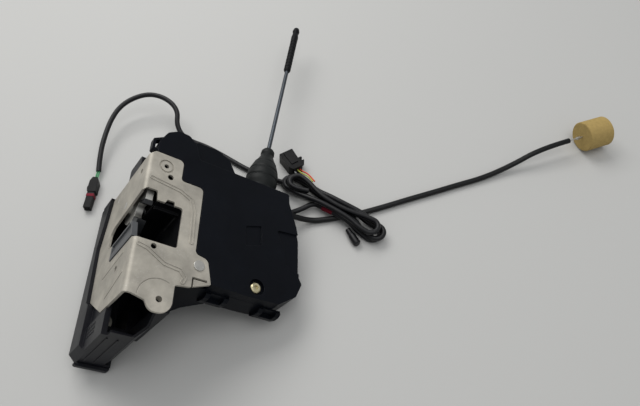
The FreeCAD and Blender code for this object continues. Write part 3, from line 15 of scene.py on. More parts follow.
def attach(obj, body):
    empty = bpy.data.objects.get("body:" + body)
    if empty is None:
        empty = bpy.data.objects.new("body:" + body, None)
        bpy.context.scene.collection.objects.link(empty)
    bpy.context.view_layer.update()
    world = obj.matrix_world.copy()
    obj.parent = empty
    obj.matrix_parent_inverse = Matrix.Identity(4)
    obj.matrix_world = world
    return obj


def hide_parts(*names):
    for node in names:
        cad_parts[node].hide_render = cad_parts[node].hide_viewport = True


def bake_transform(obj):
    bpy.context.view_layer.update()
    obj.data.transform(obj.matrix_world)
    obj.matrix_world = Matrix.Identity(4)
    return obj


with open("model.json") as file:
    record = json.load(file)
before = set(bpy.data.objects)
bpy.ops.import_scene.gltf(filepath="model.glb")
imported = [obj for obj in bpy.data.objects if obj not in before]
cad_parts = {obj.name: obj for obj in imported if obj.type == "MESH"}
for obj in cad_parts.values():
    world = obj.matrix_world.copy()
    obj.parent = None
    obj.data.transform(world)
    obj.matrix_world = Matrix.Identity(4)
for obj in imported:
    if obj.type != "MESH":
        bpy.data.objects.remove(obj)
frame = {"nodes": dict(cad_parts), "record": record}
record = frame["record"]
scene = bpy.context.scene
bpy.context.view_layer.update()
MM = 0.001


def add_object(name, data):
    """Object with this data, linked to the scene."""
    made = bpy.data.objects.new(name, data)
    scene.collection.objects.link(made)
    return made


# %% [markdown]
# The lock was drawn upright and then tipped onto the table. The same tip as one matrix lets small
# details be written in the drawing's millimetres: x across the pressed plate, y up it, z out of it.

# %% Place of the lock on the table
TIP = math.atan2(73.0, 115.5)
LOCK_SHIFT = Vector((-33.48950715, -141.46611672, 102.56122092))
LOCK = Matrix.Translation(LOCK_SHIFT * MM) @ Matrix.Rotation(TIP, 4, "Y") @ Matrix.Scale(MM, 4)


def on_lock(x, y, z):
    """Point of the lock's drawing, in its millimetres, as it lies on the table."""
    return LOCK @ Vector((x, y, z))


def on_table(x, y, z):
    """Point on the table, in millimetres."""
    return Vector((x, y, z)) * MM


print("plate corner at", [round(v, 4) for v in on_lock(0, 0, 0)])

# %% [markdown]
# The camera stands where the photographer stood: about 0.6 metres off, looking down at 55 degrees.
# Its place and its three axes were solved from points that are known on the lock, so they are
# written as numbers and no tracking constraint is needed.

# %% Camera
RIGHT = Vector((0.9987, -0.0067, 0.0499))
UP = Vector((-0.0233, 0.8168, 0.5764))
BACK = Vector((-0.0446, -0.5768, 0.8156))
CAMERA_PLACE = on_table(81.96, -369.6, 489.2)
camera_data = bpy.data.cameras.new("camera")
camera_data.lens = 34.52
camera_data.sensor_width = 36.0
camera_data.clip_start = 0.01
camera = add_object("camera", camera_data)
turn = Matrix((RIGHT, UP, BACK)).transposed().to_quaternion().to_matrix().to_4x4()
camera.matrix_world = Matrix.Translation(CAMERA_PLACE) @ turn
scene.camera = camera
print("camera", [round(v, 3) for v in camera.matrix_world.translation])

# %% [markdown]
# Node trees are easier to read when a node is one line. These helpers add a node with its settings
# and inputs, and an input that is given a socket is linked instead of set. A name that starts with an
# underscore is a socket's number, for the nodes whose sockets share a name.

# %% Node helpers
def node(tree, kind, settings=None, **inputs):
    """Add a node; settings are its own properties and inputs are values or sockets."""
    made = tree.nodes.new(kind)
    for key, value in (settings or {}).items():
        setattr(made, key, value)
    for key, value in inputs.items():
        socket = made.inputs[int(key[1:])] if key[0] == "_" else made.inputs[key.replace("_", " ")]
        if isinstance(value, bpy.types.NodeSocket):
            tree.links.new(value, socket)
        else:
            socket.default_value = value
    return made


def maths(tree, operation, first, second=0.5, clamp=False):
    """Output of one Math node."""
    settings = {"operation": operation, "use_clamp": clamp}
    return node(tree, "ShaderNodeMath", settings, _0=first, _1=second).outputs[0]


def mixed(tree, mask, below, above):
    """Colour that goes from one to the other with a mask."""
    return node(tree, "ShaderNodeMix", {"data_type": "RGBA"}, _0=mask, _6=below, _7=above).outputs[2]


def noise(tree, place, **inputs):
    """Value of one noise texture."""
    return node(tree, "ShaderNodeTexNoise", Vector=place, **inputs).outputs["Fac"]


def add_sockets(tree, way, sockets):
    """Give a group its named sockets: (name, type) or (name, type, value)."""
    for title, kind, *value in sockets:
        socket = tree.interface.new_socket(title, in_out=way, socket_type="NodeSocket" + kind)
        if value:
            socket.default_value = value[0]


def shader_group(name, inputs, outputs):
    """Empty shader node group with its sockets, and where those are found inside it."""
    tree = bpy.data.node_groups.new(name, "ShaderNodeTree")
    add_sockets(tree, "INPUT", inputs)
    add_sockets(tree, "OUTPUT", outputs)
    print("group", name)
    return tree, tree.nodes.new("NodeGroupInput").outputs, tree.nodes.new("NodeGroupOutput").inputs


# %% [markdown]
# A worn part shows bare or polished edges. The Bevel node turns the normal near an edge, so the
# angle between its normal and the true one is a mask of the edges on any mesh, also on the CAD's
# loose triangles, where vertex pointiness would fail. Noise breaks the mask up.

# %% Edge wear
EDGE_GAIN = 6.0
PATCH_GAIN = 1.6
wear_tree, wear_in, wear_out = shader_group(
    "edge_wear",
    [("Width", "Float", 0.0006), ("Amount", "Float", 0.5), ("Scale", "Float", 220.0)],
    [("Mask", "Float"), ("Normal", "Vector")],
)
wear_place = node(wear_tree, "ShaderNodeTexCoord").outputs["Object"]
rounded = node(wear_tree, "ShaderNodeBevel", {"samples": 4}, Radius=wear_in["Width"]).outputs["Normal"]
true_normal = node(wear_tree, "ShaderNodeNewGeometry").outputs["Normal"]
alike = node(wear_tree, "ShaderNodeVectorMath", {"operation": "DOT_PRODUCT"}, _0=rounded, _1=true_normal)
edge = maths(wear_tree, "SUBTRACT", 1.0, alike.outputs["Value"], True)
edge = maths(wear_tree, "MULTIPLY", edge, EDGE_GAIN, True)
patches = noise(wear_tree, wear_place, Scale=wear_in["Scale"], Detail=4.0)
patches = maths(wear_tree, "MULTIPLY", patches, PATCH_GAIN, True)
edge = maths(wear_tree, "MULTIPLY", edge, patches)
wear_tree.links.new(maths(wear_tree, "MULTIPLY", edge, wear_in["Amount"], True), wear_out["Mask"])
wear_tree.links.new(rounded, wear_out["Normal"])

# %% [markdown]
# Moulded plastic has a fine even grain, and pressed steel a slow waviness with a grain on it. Both
# are heights from noise at two scales, so one group serves them with other values.

# %% Surface grain
grain_tree, grain_in, grain_out = shader_group(
    "surface_grain",
    [("Fine", "Float", 2600.0), ("Broad", "Float", 60.0), ("Mix", "Float", 0.3)],
    [("Height", "Float"), ("Cloud", "Float")],
)
grain_place = node(grain_tree, "ShaderNodeTexCoord").outputs["Object"]
fine = noise(grain_tree, grain_place, Scale=grain_in["Fine"], Detail=2.0)
broad = noise(grain_tree, grain_place, Scale=grain_in["Broad"], Detail=5.0, Roughness=0.6)
fine = maths(grain_tree, "MULTIPLY", fine, grain_in["Mix"])
grain_tree.links.new(maths(grain_tree, "ADD", fine, broad), grain_out["Height"])
grain_tree.links.new(broad, grain_out["Cloud"])

# %% [markdown]
# Handling leaves short scratches. A noise that is stretched along one direction gives long thin
# cells, and only the narrow band about its middle is kept as a scratch. A second noise leaves gaps.

# %% Scratches
SCRATCH_TILT = 0.4
GAP_SCALE = 95.0
GAP_LEVEL = 0.56
scratch_tree, scratch_in, scratch_out = shader_group(
    "scratches",
    [("Scale", "Float", 60.0), ("Stretch", "Float", 14.0), ("Turn", "Float", 0.6),
     ("Width", "Float", 0.01)],
    [("Mask", "Float")],
)
scratch_place = node(scratch_tree, "ShaderNodeTexCoord").outputs["Object"]
scratch_turn = node(scratch_tree, "ShaderNodeCombineXYZ", _0=SCRATCH_TILT, _1=scratch_in["Turn"],
                    _2=scratch_in["Turn"])
stretch = node(scratch_tree, "ShaderNodeCombineXYZ", _0=1.0, _1=scratch_in["Stretch"],
               _2=scratch_in["Stretch"])
stretched = node(scratch_tree, "ShaderNodeMapping", Vector=scratch_place, Rotation=scratch_turn.outputs[0],
                 Scale=stretch.outputs[0])
cells = noise(scratch_tree, stretched.outputs[0], Scale=scratch_in["Scale"], Detail=1.0)
off_middle = maths(scratch_tree, "ABSOLUTE", maths(scratch_tree, "SUBTRACT", cells, 0.5))
band = maths(scratch_tree, "LESS_THAN", off_middle, scratch_in["Width"])
gaps = noise(scratch_tree, scratch_place, Scale=GAP_SCALE, Detail=2.0)
gaps = maths(scratch_tree, "GREATER_THAN", gaps, GAP_LEVEL)
scratch_tree.links.new(maths(scratch_tree, "MULTIPLY", band, gaps), scratch_out["Mask"])

# %% [markdown]
# Dust settles on what faces up. The mask is the upward part of the normal, broken by noise, and it
# only lifts the colour and the roughness a little.

# %% Dust
DUST_FROM = 0.42
DUST_FULL = 0.8
dust_tree, dust_in, dust_out = shader_group(
    "dust", [("Amount", "Float", 0.3), ("Scale", "Float", 140.0)], [("Mask", "Float")]
)
dust_place = node(dust_tree, "ShaderNodeTexCoord").outputs["Object"]
facing = node(dust_tree, "ShaderNodeNewGeometry").outputs["Normal"]
upward = node(dust_tree, "ShaderNodeSeparateXYZ", _0=facing).outputs["Z"]
upward = maths(dust_tree, "MAXIMUM", upward, 0.0)
specks = noise(dust_tree, dust_place, Scale=dust_in["Scale"], Detail=6.0, Roughness=0.7)
specks = node(dust_tree, "ShaderNodeMapRange", Value=specks, _1=DUST_FROM, _2=DUST_FULL).outputs[0]
settled = maths(dust_tree, "MULTIPLY", maths(dust_tree, "MULTIPLY", upward, specks), dust_in["Amount"])
dust_tree.links.new(settled, dust_out["Mask"])

# %% [markdown]
# Every finish of the lock is one Principled shader: a base colour that clouds a little, wear on the
# edges, scratches, dust and a grain. The differences are numbers, so one function builds them all,
# and what is even over the surface is set on the shader's own sockets. Wear is its amount, its width
# and the bare colour under it; grain is its fine and broad scale, the fine one's share and its depth.

# %% One function for every finish
PLAIN_WEAR = (0.2, 0.0004, (0.3, 0.3, 0.3))
PLAIN_GRAIN = (2600.0, 60.0, 0.3, 0.00002)
DUST_COLOUR = (0.2, 0.195, 0.18, 1)
SHADE_FROM, SHADE_TO = 0.3, 0.7
GLOSS_FROM, GLOSS_TO = 0.25, 0.75
SMOOTHER, ROUGHER = 0.07, 0.09
SCRATCH_GLOSS = 0.1
FINISHES = {}


def base_colour(tree, colour, cloud, bare, cloudy, scratched, worn, dusty):
    """Colour that clouds from darker to lighter and is then scratched, worn and dusty."""
    dark = (*[part * (1 - cloud) for part in colour], 1)
    light = (*[min(1.0, part * (1 + cloud)) for part in colour], 1)
    shade = node(tree, "ShaderNodeMapRange", Value=cloudy, _1=SHADE_FROM, _2=SHADE_TO)
    layers = mixed(tree, shade.outputs[0], dark, light)
    layers = mixed(tree, scratched, layers, (*bare, 1))
    layers = mixed(tree, worn, layers, (*bare, 1))
    return mixed(tree, dusty, layers, DUST_COLOUR)


def finish(name, colour, metallic, rough, wear=PLAIN_WEAR, grain=PLAIN_GRAIN, cloud=0.15, dust=0.04,
           scratch=0.0, specular=0.35):
    """Material with its colour, gloss, edge wear, grain, clouding, dust and scratches."""
    material = bpy.data.materials.new(name)
    material.use_nodes = True
    tree = material.node_tree
    shader = tree.nodes["Principled BSDF"].inputs
    shader["Metallic"].default_value = metallic
    shader["Specular IOR Level"].default_value = specular
    amount, width, bare = wear
    fine_scale, broad_scale, share, depth = grain
    edges = node(tree, "ShaderNodeGroup", {"node_tree": wear_tree}, Width=width, Amount=amount).outputs
    skin = node(tree, "ShaderNodeGroup", {"node_tree": grain_tree}, Fine=fine_scale, Broad=broad_scale,
                Mix=share).outputs
    scored = node(tree, "ShaderNodeGroup", {"node_tree": scratch_tree}).outputs["Mask"]
    scored = maths(tree, "MULTIPLY", scored, scratch)
    dusty = node(tree, "ShaderNodeGroup", {"node_tree": dust_tree}, Amount=dust).outputs["Mask"]
    base = base_colour(tree, colour, cloud, bare, skin["Cloud"], scored, edges["Mask"], dusty)
    tree.links.new(base, shader["Base Color"])
    gloss = node(tree, "ShaderNodeMapRange", Value=skin["Cloud"], _1=GLOSS_FROM, _2=GLOSS_TO,
                 _3=rough - SMOOTHER, _4=rough + ROUGHER)
    gloss = maths(tree, "ADD", gloss.outputs[0], dusty)
    gloss = maths(tree, "SUBTRACT", gloss, maths(tree, "MULTIPLY", scored, SCRATCH_GLOSS), True)
    tree.links.new(gloss, shader["Roughness"])
    bump = node(tree, "ShaderNodeBump", Strength=1.0, Distance=depth, Height=skin["Height"],
                Normal=edges["Normal"])
    tree.links.new(bump.outputs[0], shader["Normal"])
    FINISHES[name] = material


print("wear, grain, scratches and dust in every finish")

# %% [markdown]
# The plate is sheet steel with a dull zinc coat: half metal, rough and a little warm, with a cloud in
# it. The fork and the studs are harder and brighter steel, the rod is dark, and the screw has a
# yellow passivation. A fully metallic, smooth shader would look like chrome under soft daylight.

# %% Metals
finish("zinc_sheet", (0.40, 0.375, 0.325), 0.45, 0.58, wear=(0.12, 0.0005, (0.6, 0.58, 0.54)),
       grain=(900.0, 55.0, 0.35, 0.00008), cloud=0.22, scratch=0.4, specular=0.3)
finish("bright_steel", (0.47, 0.46, 0.43), 0.8, 0.38, wear=(0.5, 0.0004, (0.75, 0.75, 0.73)),
       grain=(1400.0, 90.0, 0.3, 0.00003), scratch=0.3)
finish("dark_steel", (0.16, 0.155, 0.15), 0.8, 0.42, wear=(0.5, 0.0004, (0.5, 0.5, 0.5)))
finish("spring_steel", (0.3, 0.3, 0.31), 0.95, 0.3)
finish("rod_steel", (0.06, 0.068, 0.078), 0.75, 0.34, wear=(0.2, 0.0003, (0.4, 0.4, 0.4)), dust=0.0)
finish("yellow_zinc", (0.58, 0.52, 0.33), 0.85, 0.32, wear=(0.4, 0.0003, (0.8, 0.76, 0.62)))
finish("motor_can", (0.5, 0.5, 0.5), 0.95, 0.3)
finish("worm_brass", (0.6, 0.45, 0.2), 0.95, 0.3)
print("metals", len(FINISHES))

# %% [markdown]
# The housings are black glass-filled plastic. Black plastic mostly shows the sky in its gloss, so its
# specular level is set far below the default, and only its edges and a little dust are lighter.

# %% Plastics
BLACK_GLOSS = 0.1
finish("latch_plastic", (0.0055, 0.0058, 0.0085), 0.0, 0.42, wear=(0.3, 0.0006, (0.045, 0.045, 0.05)),
       grain=(2400.0, 30.0, 0.5, 0.00004), cloud=0.3, dust=0.03, scratch=0.15, specular=0.2)
finish("cover_plastic", (0.0016, 0.0024, 0.0046), 0.0, 0.4, wear=(0.3, 0.0007, (0.02, 0.023, 0.03)),
       grain=(2800.0, 22.0, 0.5, 0.00003), cloud=0.25, dust=0.006, scratch=0.1, specular=BLACK_GLOSS)
finish("liner_plastic", (0.003, 0.003, 0.004), 0.0, 0.4, wear=(0.3, 0.0005, (0.04, 0.04, 0.04)), dust=0.0,
       specular=0.2)
finish("grey_plastic", (0.075, 0.078, 0.083), 0.0, 0.45, wear=(0.4, 0.0005, (0.22, 0.22, 0.22)))
finish("coat_plastic", (0.009, 0.01, 0.012), 0.0, 0.4, wear=(0.4, 0.0005, (0.07, 0.07, 0.07)), dust=0.0)
finish("grip_plastic", (0.0035, 0.004, 0.005), 0.0, 0.42, dust=0.01, specular=BLACK_GLOSS)
finish("sheath_plastic", (0.003, 0.0032, 0.0035), 0.0, 0.36, grain=(1200.0, 70.0, 0.4, 0.00003), dust=0.006,
       specular=0.25)
finish("plug_plastic", (0.0028, 0.0028, 0.0034), 0.0, 0.38, wear=(0.3, 0.0004, (0.04, 0.04, 0.04)),
       dust=0.01, specular=BLACK_GLOSS)
finish("gear_plastic", (0.62, 0.6, 0.52), 0.0, 0.4, dust=0.0)
finish("board_green", (0.03, 0.18, 0.08), 0.0, 0.4)
print("with plastics", len(FINISHES))

# %% [markdown]
# Rubber is rougher than plastic and has a coarser skin. The foam is open-celled, so nearly all of its
# light is scattered: a high roughness, almost no gloss and a deep fine grain give that.

# %% Rubber and foam
finish("buffer_rubber", (0.01, 0.01, 0.01), 0.0, 0.75, specular=BLACK_GLOSS)
finish("boot_rubber", (0.0035, 0.005, 0.005), 0.0, 0.5, wear=(0.1, 0.0006, (0.03, 0.03, 0.03)),
       grain=(1500.0, 60.0, 0.5, 0.00012), cloud=0.3, dust=0.02, specular=0.22)
finish("sleeve_rubber", (0.0026, 0.0028, 0.004), 0.0, 0.4, grain=(1300.0, 160.0, 0.4, 0.00008), dust=0.008,
       specular=0.3)
finish("foam", (0.37, 0.265, 0.1), 0.0, 0.95, wear=(0.0, 0.0004, (0.5, 0.4, 0.2)),
       grain=(1100.0, 300.0, 1.2, 0.0002), cloud=0.1, dust=0.0, specular=0.1)
print("with rubber and foam", len(FINISHES))

# %% [markdown]
# The only strong colours are small: the wires at the plugs, the ring on the side plug and the tape.
# They are plain plastic with a saturated base colour.

# %% Wires, ring and tape
finish("side_wire_green", (0.03, 0.26, 0.09), 0.0, 0.4)
finish("wire_yellow", (0.42, 0.42, 0.06), 0.0, 0.4)
finish("wire_red", (0.65, 0.08, 0.025), 0.0, 0.4)
finish("wire_white", (0.55, 0.55, 0.55), 0.0, 0.4)
finish("band_red", (0.16, 0.008, 0.02), 0.0, 0.5, dust=0.0, specular=BLACK_GLOSS)
finish("tape_red", (0.11, 0.006, 0.014), 0.0, 0.6, dust=0.0, specular=BLACK_GLOSS)
print("finishes", len(FINISHES))

# %% [markdown]
# The CAD nodes come as loose triangles, each with its own three points. Merging them could be done by
# hand in Edit Mode, but a function does it alike for every part. The copy is then shaded smooth up to
# its real edges and stands for the node, and keep() says which body it rides on.

# %% Helpers for pieces
MERGE_DISTANCE = 3e-6
SLIVER = 1e-6
SMOOTH_ANGLE = math.radians(34.0)
BODY_OF = {name: body for body, names in record["behaviour"]["bodies"].items() for name in names}
SLOT_OF = {part["node"]: part["material_slot"] for part in record["subparts"]}


def keep(piece, body, slot, *nodes):
    """Let a piece ride on its body and stand for its nodes; its slot is not used."""
    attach(piece, body)
    if nodes:
        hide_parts(*nodes)


def merged(name, mesh):
    """Object from a mesh whose points are merged and whose faces are smooth up to an angle."""
    shell = bmesh.new()
    shell.from_mesh(mesh)
    bmesh.ops.remove_doubles(shell, verts=shell.verts, dist=MERGE_DISTANCE)
    bmesh.ops.dissolve_degenerate(shell, edges=shell.edges, dist=SLIVER)
    shell.to_mesh(mesh)
    shell.free()
    if "custom_normal" in mesh.attributes:
        mesh.attributes.remove(mesh.attributes["custom_normal"])
    mesh.shade_smooth()
    mesh.set_sharp_from_angle(angle=SMOOTH_ANGLE)
    print(name, "faces", len(mesh.polygons))
    return add_object(name, mesh)


def stand_in(part, name):
    """Smooth-shaded copy of a CAD node with its slot's finish."""
    piece = merged(name, frame["nodes"][part].data.copy())
    piece.data.materials.clear()
    piece.data.materials.append(FINISHES[SLOT_OF[part]])
    return piece


# %% [markdown]
# What shows of the lock is the pressed plate with its mouth and fork, the housings, the screw, the rod
# in its gaiter, and the plugs. Each of these gets a smooth copy. A part that is shut inside is only
# seen when the housing is taken off, so it keeps its node and gets the finish alone.

# %% Dress the CAD nodes
SHOWN = {
    "latch_plate": "pressed_plate", "plate_rivet": "flush_rivet", "latch_box": "latch_housing",
    "back_cover": "rear_lid", "striker_pocket": "striker_liner", "striker_buffer": "striker_stop",
    "striker_guide": "striker_ramp", "rotary_latch": "steel_fork", "latch_coating": "fork_coating",
    "pawl": "steel_pawl", "pivot_plate": "inner_plate", "latch_stud": "fork_stud",
    "pawl_stud": "pawl_pin", "front_cover": "cover_front", "rear_shell": "cover_rear",
    "cover_screw": "torx_screw", "lock_rod": "pull_rod", "rod_sleeve": "rod_grip",
    "rod_boot": "rod_gaiter", "cable_ferrule": "cable_collar", "harness_grommet": "lead_grommet",
    "cable_wire_end": "bare_wire", "harness_connector": "main_plug", "branch_connector": "branch_end",
    "side_wires": "side_plug_wires", "side_connector": "side_plug", "side_band": "side_plug_band",
    "outside_lever": "handle_lever", "outside_pin": "handle_pin", "key_cam": "key_cam_disc",
    "foam_plug": "foam_block",
}
for part, name in SHOWN.items():
    keep(stand_in(part, name), BODY_OF[part], SLOT_OF[part], part)
for part, thing in frame["nodes"].items():
    if part not in SHOWN:
        thing.data.materials.clear()
        thing.data.materials.append(FINISHES.get(SLOT_OF[part], FINISHES["wire_yellow"]))
print("dressed", len(SHOWN))

# %% [markdown]
# Each torsion spring has one leg on the housing and one on the lever that it turns, and coil and
# swing share one axis. Each spring is a smooth copy with its slot's finish, its place is baked into
# its points, and it stands for its node.

# %% Torsion springs
SPRINGS = (
    ("latch_spring", "fork_spring", "latch", (15.5, 56.5, -41.5), (15.5, 56.5, -48.0)),
    ("pawl_spring", "pawl_coil_spring", "pawl", (14.5, 77.8, -67.0), (14.5, 77.8, -78.0)),
)
for part, name, lever, blend_from, blend_to in SPRINGS:
    spring = stand_in(part, name)
    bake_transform(spring)
    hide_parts(part)
    print(name, "blended to", lever)

# %% [markdown]
# A cord could be a swept mesh, but a curve with a round bevel needs far fewer points. Its route is the
# control points of one NURBS spline, so it bends like a sleeved lead and not like wire. The order and
# the end rule are set after the points, because before them they would fall back to straight runs.

# %% Cord helpers
def cord(name, points, radius, look):
    """Round cord along one open spline through control points in metres."""
    data = bpy.data.curves.new(name, "CURVE")
    data.dimensions = "3D"
    spline = data.splines.new("NURBS")
    spline.points.add(len(points) - 1)
    for place, point in zip(points, spline.points):
        point.co = (*place, 1.0)
    spline.order_u = 3
    spline.use_endpoint_u = True
    spline.resolution_u = 10
    data.bevel_depth = radius
    data.bevel_resolution = 6
    data.use_fill_caps = True
    data.materials.append(FINISHES[look])
    return add_object(name, data)


def spline_line(thing):
    """Points down the middle of a cord, read from its spline without the bevel."""
    bare = thing.copy()
    bare.data = thing.data.copy()
    bare.data.bevel_depth = 0.0
    mesh = bpy.data.meshes.new_from_object(bare)
    points = [vertex.co.copy() for vertex in mesh.vertices]
    bpy.data.meshes.remove(mesh)
    bpy.data.objects.remove(bare)
    return points


def line_length(points):
    """Length of a line through points, in metres."""
    return sum((after - before).length for before, after in zip(points, points[1:]))


# %% [markdown]
# The release cable runs in a plastic sheath, straight out of its collar and then along the table in
# one long shallow bend. Only the last stretch lifts, because the foam block at the far end holds it.

# %% Release cable
SHEATH_RADIUS = 2.7 * MM
SHEATH_EXIT = on_lock(140.2, 94.0, -15.4)
SHEATH_ROUTE = [
    (95.6, -47.5, 2.8), (119.0, -43.9, 2.8), (143.0, -38.2, 2.8), (169.0, -29.2, 2.8),
    (195.0, -19.0, 2.8), (222.0, -9.2, 2.8), (248.0, 0.8, 2.8), (274.5, 10.2, 2.8),
    (305.5, 25.0, 5.5), (337.9, 40.9, 15.5), (369.7, 52.8, 15.5),
]
sheath = cord("release_sheath", [SHEATH_EXIT] + [on_table(*point) for point in SHEATH_ROUTE],
              SHEATH_RADIUS, "sheath_plastic")
SHEATH_LENGTH = line_length(spline_line(sheath))
print("sheath", round(SHEATH_LENGTH, 4))

# %% [markdown]
# The harness leaves the lock beside the cable and is folded back on itself five times into a flat
# hank: six passes, with its turns on three levels, over the cable in the middle. A cloth or rope
# simulation could fold it, but would end differently from the photographed hank, so it is laid from
# listed points. Its points are given along the hank, across it and up, so each pass reads as one line.

# %% Harness
LEAD_RADIUS = 2.5 * MM
LEAD_EXIT = on_lock(130.9, 100.0, -22.5)
LEAD_ROUTE = [(76.9, -41.5, 6.2), (90.0, -35.2, 4.6), (102.0, -27.3, 5.2)]
HANK_START = Vector((76.0, -4.0, 0.0))
HANK_ALONG = Vector((86.0, -54.0, 0.0)).normalized()
HANK_ACROSS = Vector((-HANK_ALONG.y, HANK_ALONG.x, 0.0))
HANK_ROUTE = [
    (46.0, -6.6, 6.4), (56.0, -6.8, 8.0), (66.0, -6.9, 8.1), (76.0, -7.6, 7.8), (85.0, -9.6, 4.6),
    (98.0, -11.2, 2.8), (101.0, -10.6, 2.8), (103.6, -8.9, 2.8), (105.3, -6.3, 2.8), (105.9, -3.3, 2.8),
    (105.3, -0.3, 2.8), (103.6, 2.3, 2.8), (101.0, 4.0, 2.8), (98.0, 4.6, 2.8), (88.0, 4.4, 3.4),
    (80.0, 4.6, 7.4), (70.0, 4.6, 8.1), (60.0, 4.3, 8.0), (48.0, 4.0, 7.0), (36.0, 5.0, 3.4),
    (22.0, 8.2, 2.7), (12.0, 10.2, 2.7), (2.5, 10.8, 2.7), (-0.3, 10.3, 2.7), (-2.8, 8.7, 2.7),
    (-4.4, 6.2, 2.7), (-4.9, 3.4, 2.7), (-4.4, 0.6, 2.7), (-2.8, -1.9, 2.7), (-0.3, -3.5, 2.7),
    (2.5, -4.0, 2.7), (12.0, -2.6, 2.7), (22.0, -1.2, 2.7), (34.0, -1.0, 2.9), (46.0, -1.2, 6.6),
    (58.0, -1.3, 8.0), (70.0, -1.5, 8.1), (80.0, -3.4, 8.0), (90.0, -8.6, 7.9), (101.5, -10.8, 7.9),
    (104.4, -10.3, 7.9), (106.9, -8.6, 7.9), (108.6, -6.1, 7.9), (109.1, -3.2, 7.9), (108.6, -0.3, 7.9),
    (106.9, 2.2, 7.9), (104.4, 3.9, 7.9), (101.5, 4.4, 7.9), (92.0, 4.9, 9.6), (82.0, 5.0, 12.8),
    (70.0, 4.9, 13.2), (56.0, 4.7, 13.2), (44.0, 5.0, 12.4), (34.0, 6.2, 9.0), (24.0, 8.0, 7.9),
    (14.0, 9.0, 7.9), (5.5, 8.7, 7.9), (2.6, 8.2, 7.9), (0.2, 6.5, 7.9), (-1.5, 4.1, 7.9),
    (-2.0, 1.2, 7.9), (-1.5, -1.7, 7.9), (0.2, -4.1, 7.9), (2.6, -5.8, 7.9), (5.5, -6.3, 7.9),
    (15.0, -7.0, 8.4), (26.0, -6.8, 10.4), (38.0, -6.4, 12.9), (50.0, -6.2, 13.3), (64.0, -6.3, 13.3),
    (76.0, -7.4, 13.2), (86.0, -10.2, 13.1), (95.0, -11.2, 13.1), (97.9, -10.7, 13.1),
    (100.4, -9.0, 13.1), (102.1, -6.5, 13.1), (102.6, -3.6, 13.1), (102.1, -0.7, 13.1),
    (100.4, 1.8, 13.1), (97.9, 3.5, 13.1), (95.0, 4.0, 13.1), (84.0, 3.0, 13.2), (74.0, 0.6, 13.3),
    (62.0, -0.6, 13.3), (50.0, -0.4, 13.3), (38.0, 1.0, 13.3), (28.0, 4.6, 13.2), (19.0, 8.0, 13.1),
    (10.5, 9.3, 13.1), (7.7, 8.8, 13.1), (5.3, 7.2, 13.1), (3.7, 4.8, 13.1), (3.2, 2.0, 13.1),
    (3.7, -0.8, 13.1), (5.3, -3.2, 13.1), (7.7, -4.8, 13.1), (10.5, -5.3, 13.1), (17.0, -4.6, 13.1),
    (26.0, -1.6, 13.3),
]


def in_hank(along, across, height):
    """Point of the hank, in millimetres along it, across it and above the table."""
    return (HANK_START + HANK_ALONG * along + HANK_ACROSS * across + Vector((0, 0, height))) * MM


lead_points = [LEAD_EXIT] + [on_table(*point) for point in LEAD_ROUTE]
hank_points = [in_hank(*point) for point in HANK_ROUTE]
harness = cord("harness_sleeve", lead_points + hank_points, LEAD_RADIUS, "sleeve_rubber")
HARNESS_LINE = spline_line(harness)
HARNESS_LENGTH = line_length(HARNESS_LINE)
print("harness", round(HARNESS_LENGTH, 4))

# %% [markdown]
# A second, shorter lead leaves the hank, passes behind the lock and ends in a slim two-way plug. It
# is one more cord of the same sleeve. Its points rise off the table in the bend behind the lock, as a
# springy lead does, and come down again to the plug.

# %% Side lead
SIDE_EXIT = on_table(78.0, -5.0, 4.5)
SIDE_ROUTE = [
    (60.0, 2.0, 3.0), (36.5, 12.6, 2.7), (8.5, 31.9, 2.7), (-9.5, 42.6, 3.0), (-23.0, 45.5, 6.0),
    (-33.5, 50.5, 11.0), (-38.5, 60.5, 16.0), (-38.3, 72.5, 19.5), (-44.8, 83.0, 22.0),
    (-57.5, 91.5, 23.3), (-72.0, 94.0, 23.3), (-86.8, 88.3, 22.0), (-98.2, 78.6, 19.5),
    (-104.8, 64.6, 16.5), (-108.3, 46.5, 13.3), (-110.2, 24.5, 9.5), (-108.9, 4.5, 5.0),
]
side_lead = cord("side_sleeve", [SIDE_EXIT] + [on_table(*point) for point in SIDE_ROUTE], LEAD_RADIUS,
                 "sleeve_rubber")
SIDE_LENGTH = line_length(spline_line(side_lead))
print("side lead", round(SIDE_LENGTH, 4))

# %% [markdown]
# Three thin wires come out of the hank and enter the main plug side by side. They are cords too. Each
# starts in the plug's own millimetres, along it and across it, so it stays in its place if the plug is
# turned, and then spreads a little before it bends over to the hank.

# %% Wires into the main plug
PLUG_TURN = Matrix.Rotation(math.radians(-57.0), 4, "Z")
PLUG = Matrix.Translation(on_table(73.7, 30.7, 0.0)) @ PLUG_TURN @ Matrix.Scale(MM, 4)
PLUG_MOUTH = 22.5
FIRST_BEND = 28.0
BEND_SPREAD = 1.3
BEND_RISE = 1.0
WIRE_RADIUS = 0.7 * MM
PLUG_WIRES = (
    ("wire_white", -3.4, 6.5, ((95.0, 1.0, 8.0), (96.0, -6.0, 12.5))),
    ("wire_yellow", -0.4, 7.5, ((97.5, 2.0, 9.0), (101.0, -7.5, 13.0))),
    ("wire_red", 2.4, 6.5, ((97.0, 6.0, 8.0), (103.0, -6.5, 12.0))),
)
wires = []
for look, across, height, ends in PLUG_WIRES:
    start = PLUG @ Vector((PLUG_MOUTH, across, height))
    bend = PLUG @ Vector((FIRST_BEND, across * BEND_SPREAD, height + BEND_RISE))
    route = [start, bend] + [on_table(*spot) for spot in ends]
    wires.append(cord(f"plug_wire_{len(wires)}", route, WIRE_RADIUS, look))
print("plug wires", len(wires))

# %% [markdown]
# Small moulded marks repeat, so a Geometry Nodes tree sets one block out in rows and columns. An array
# modifier on an array modifier would do it too, but the tree keeps its counts, steps and sizes as
# named inputs in one place, and serves other marks with other numbers.

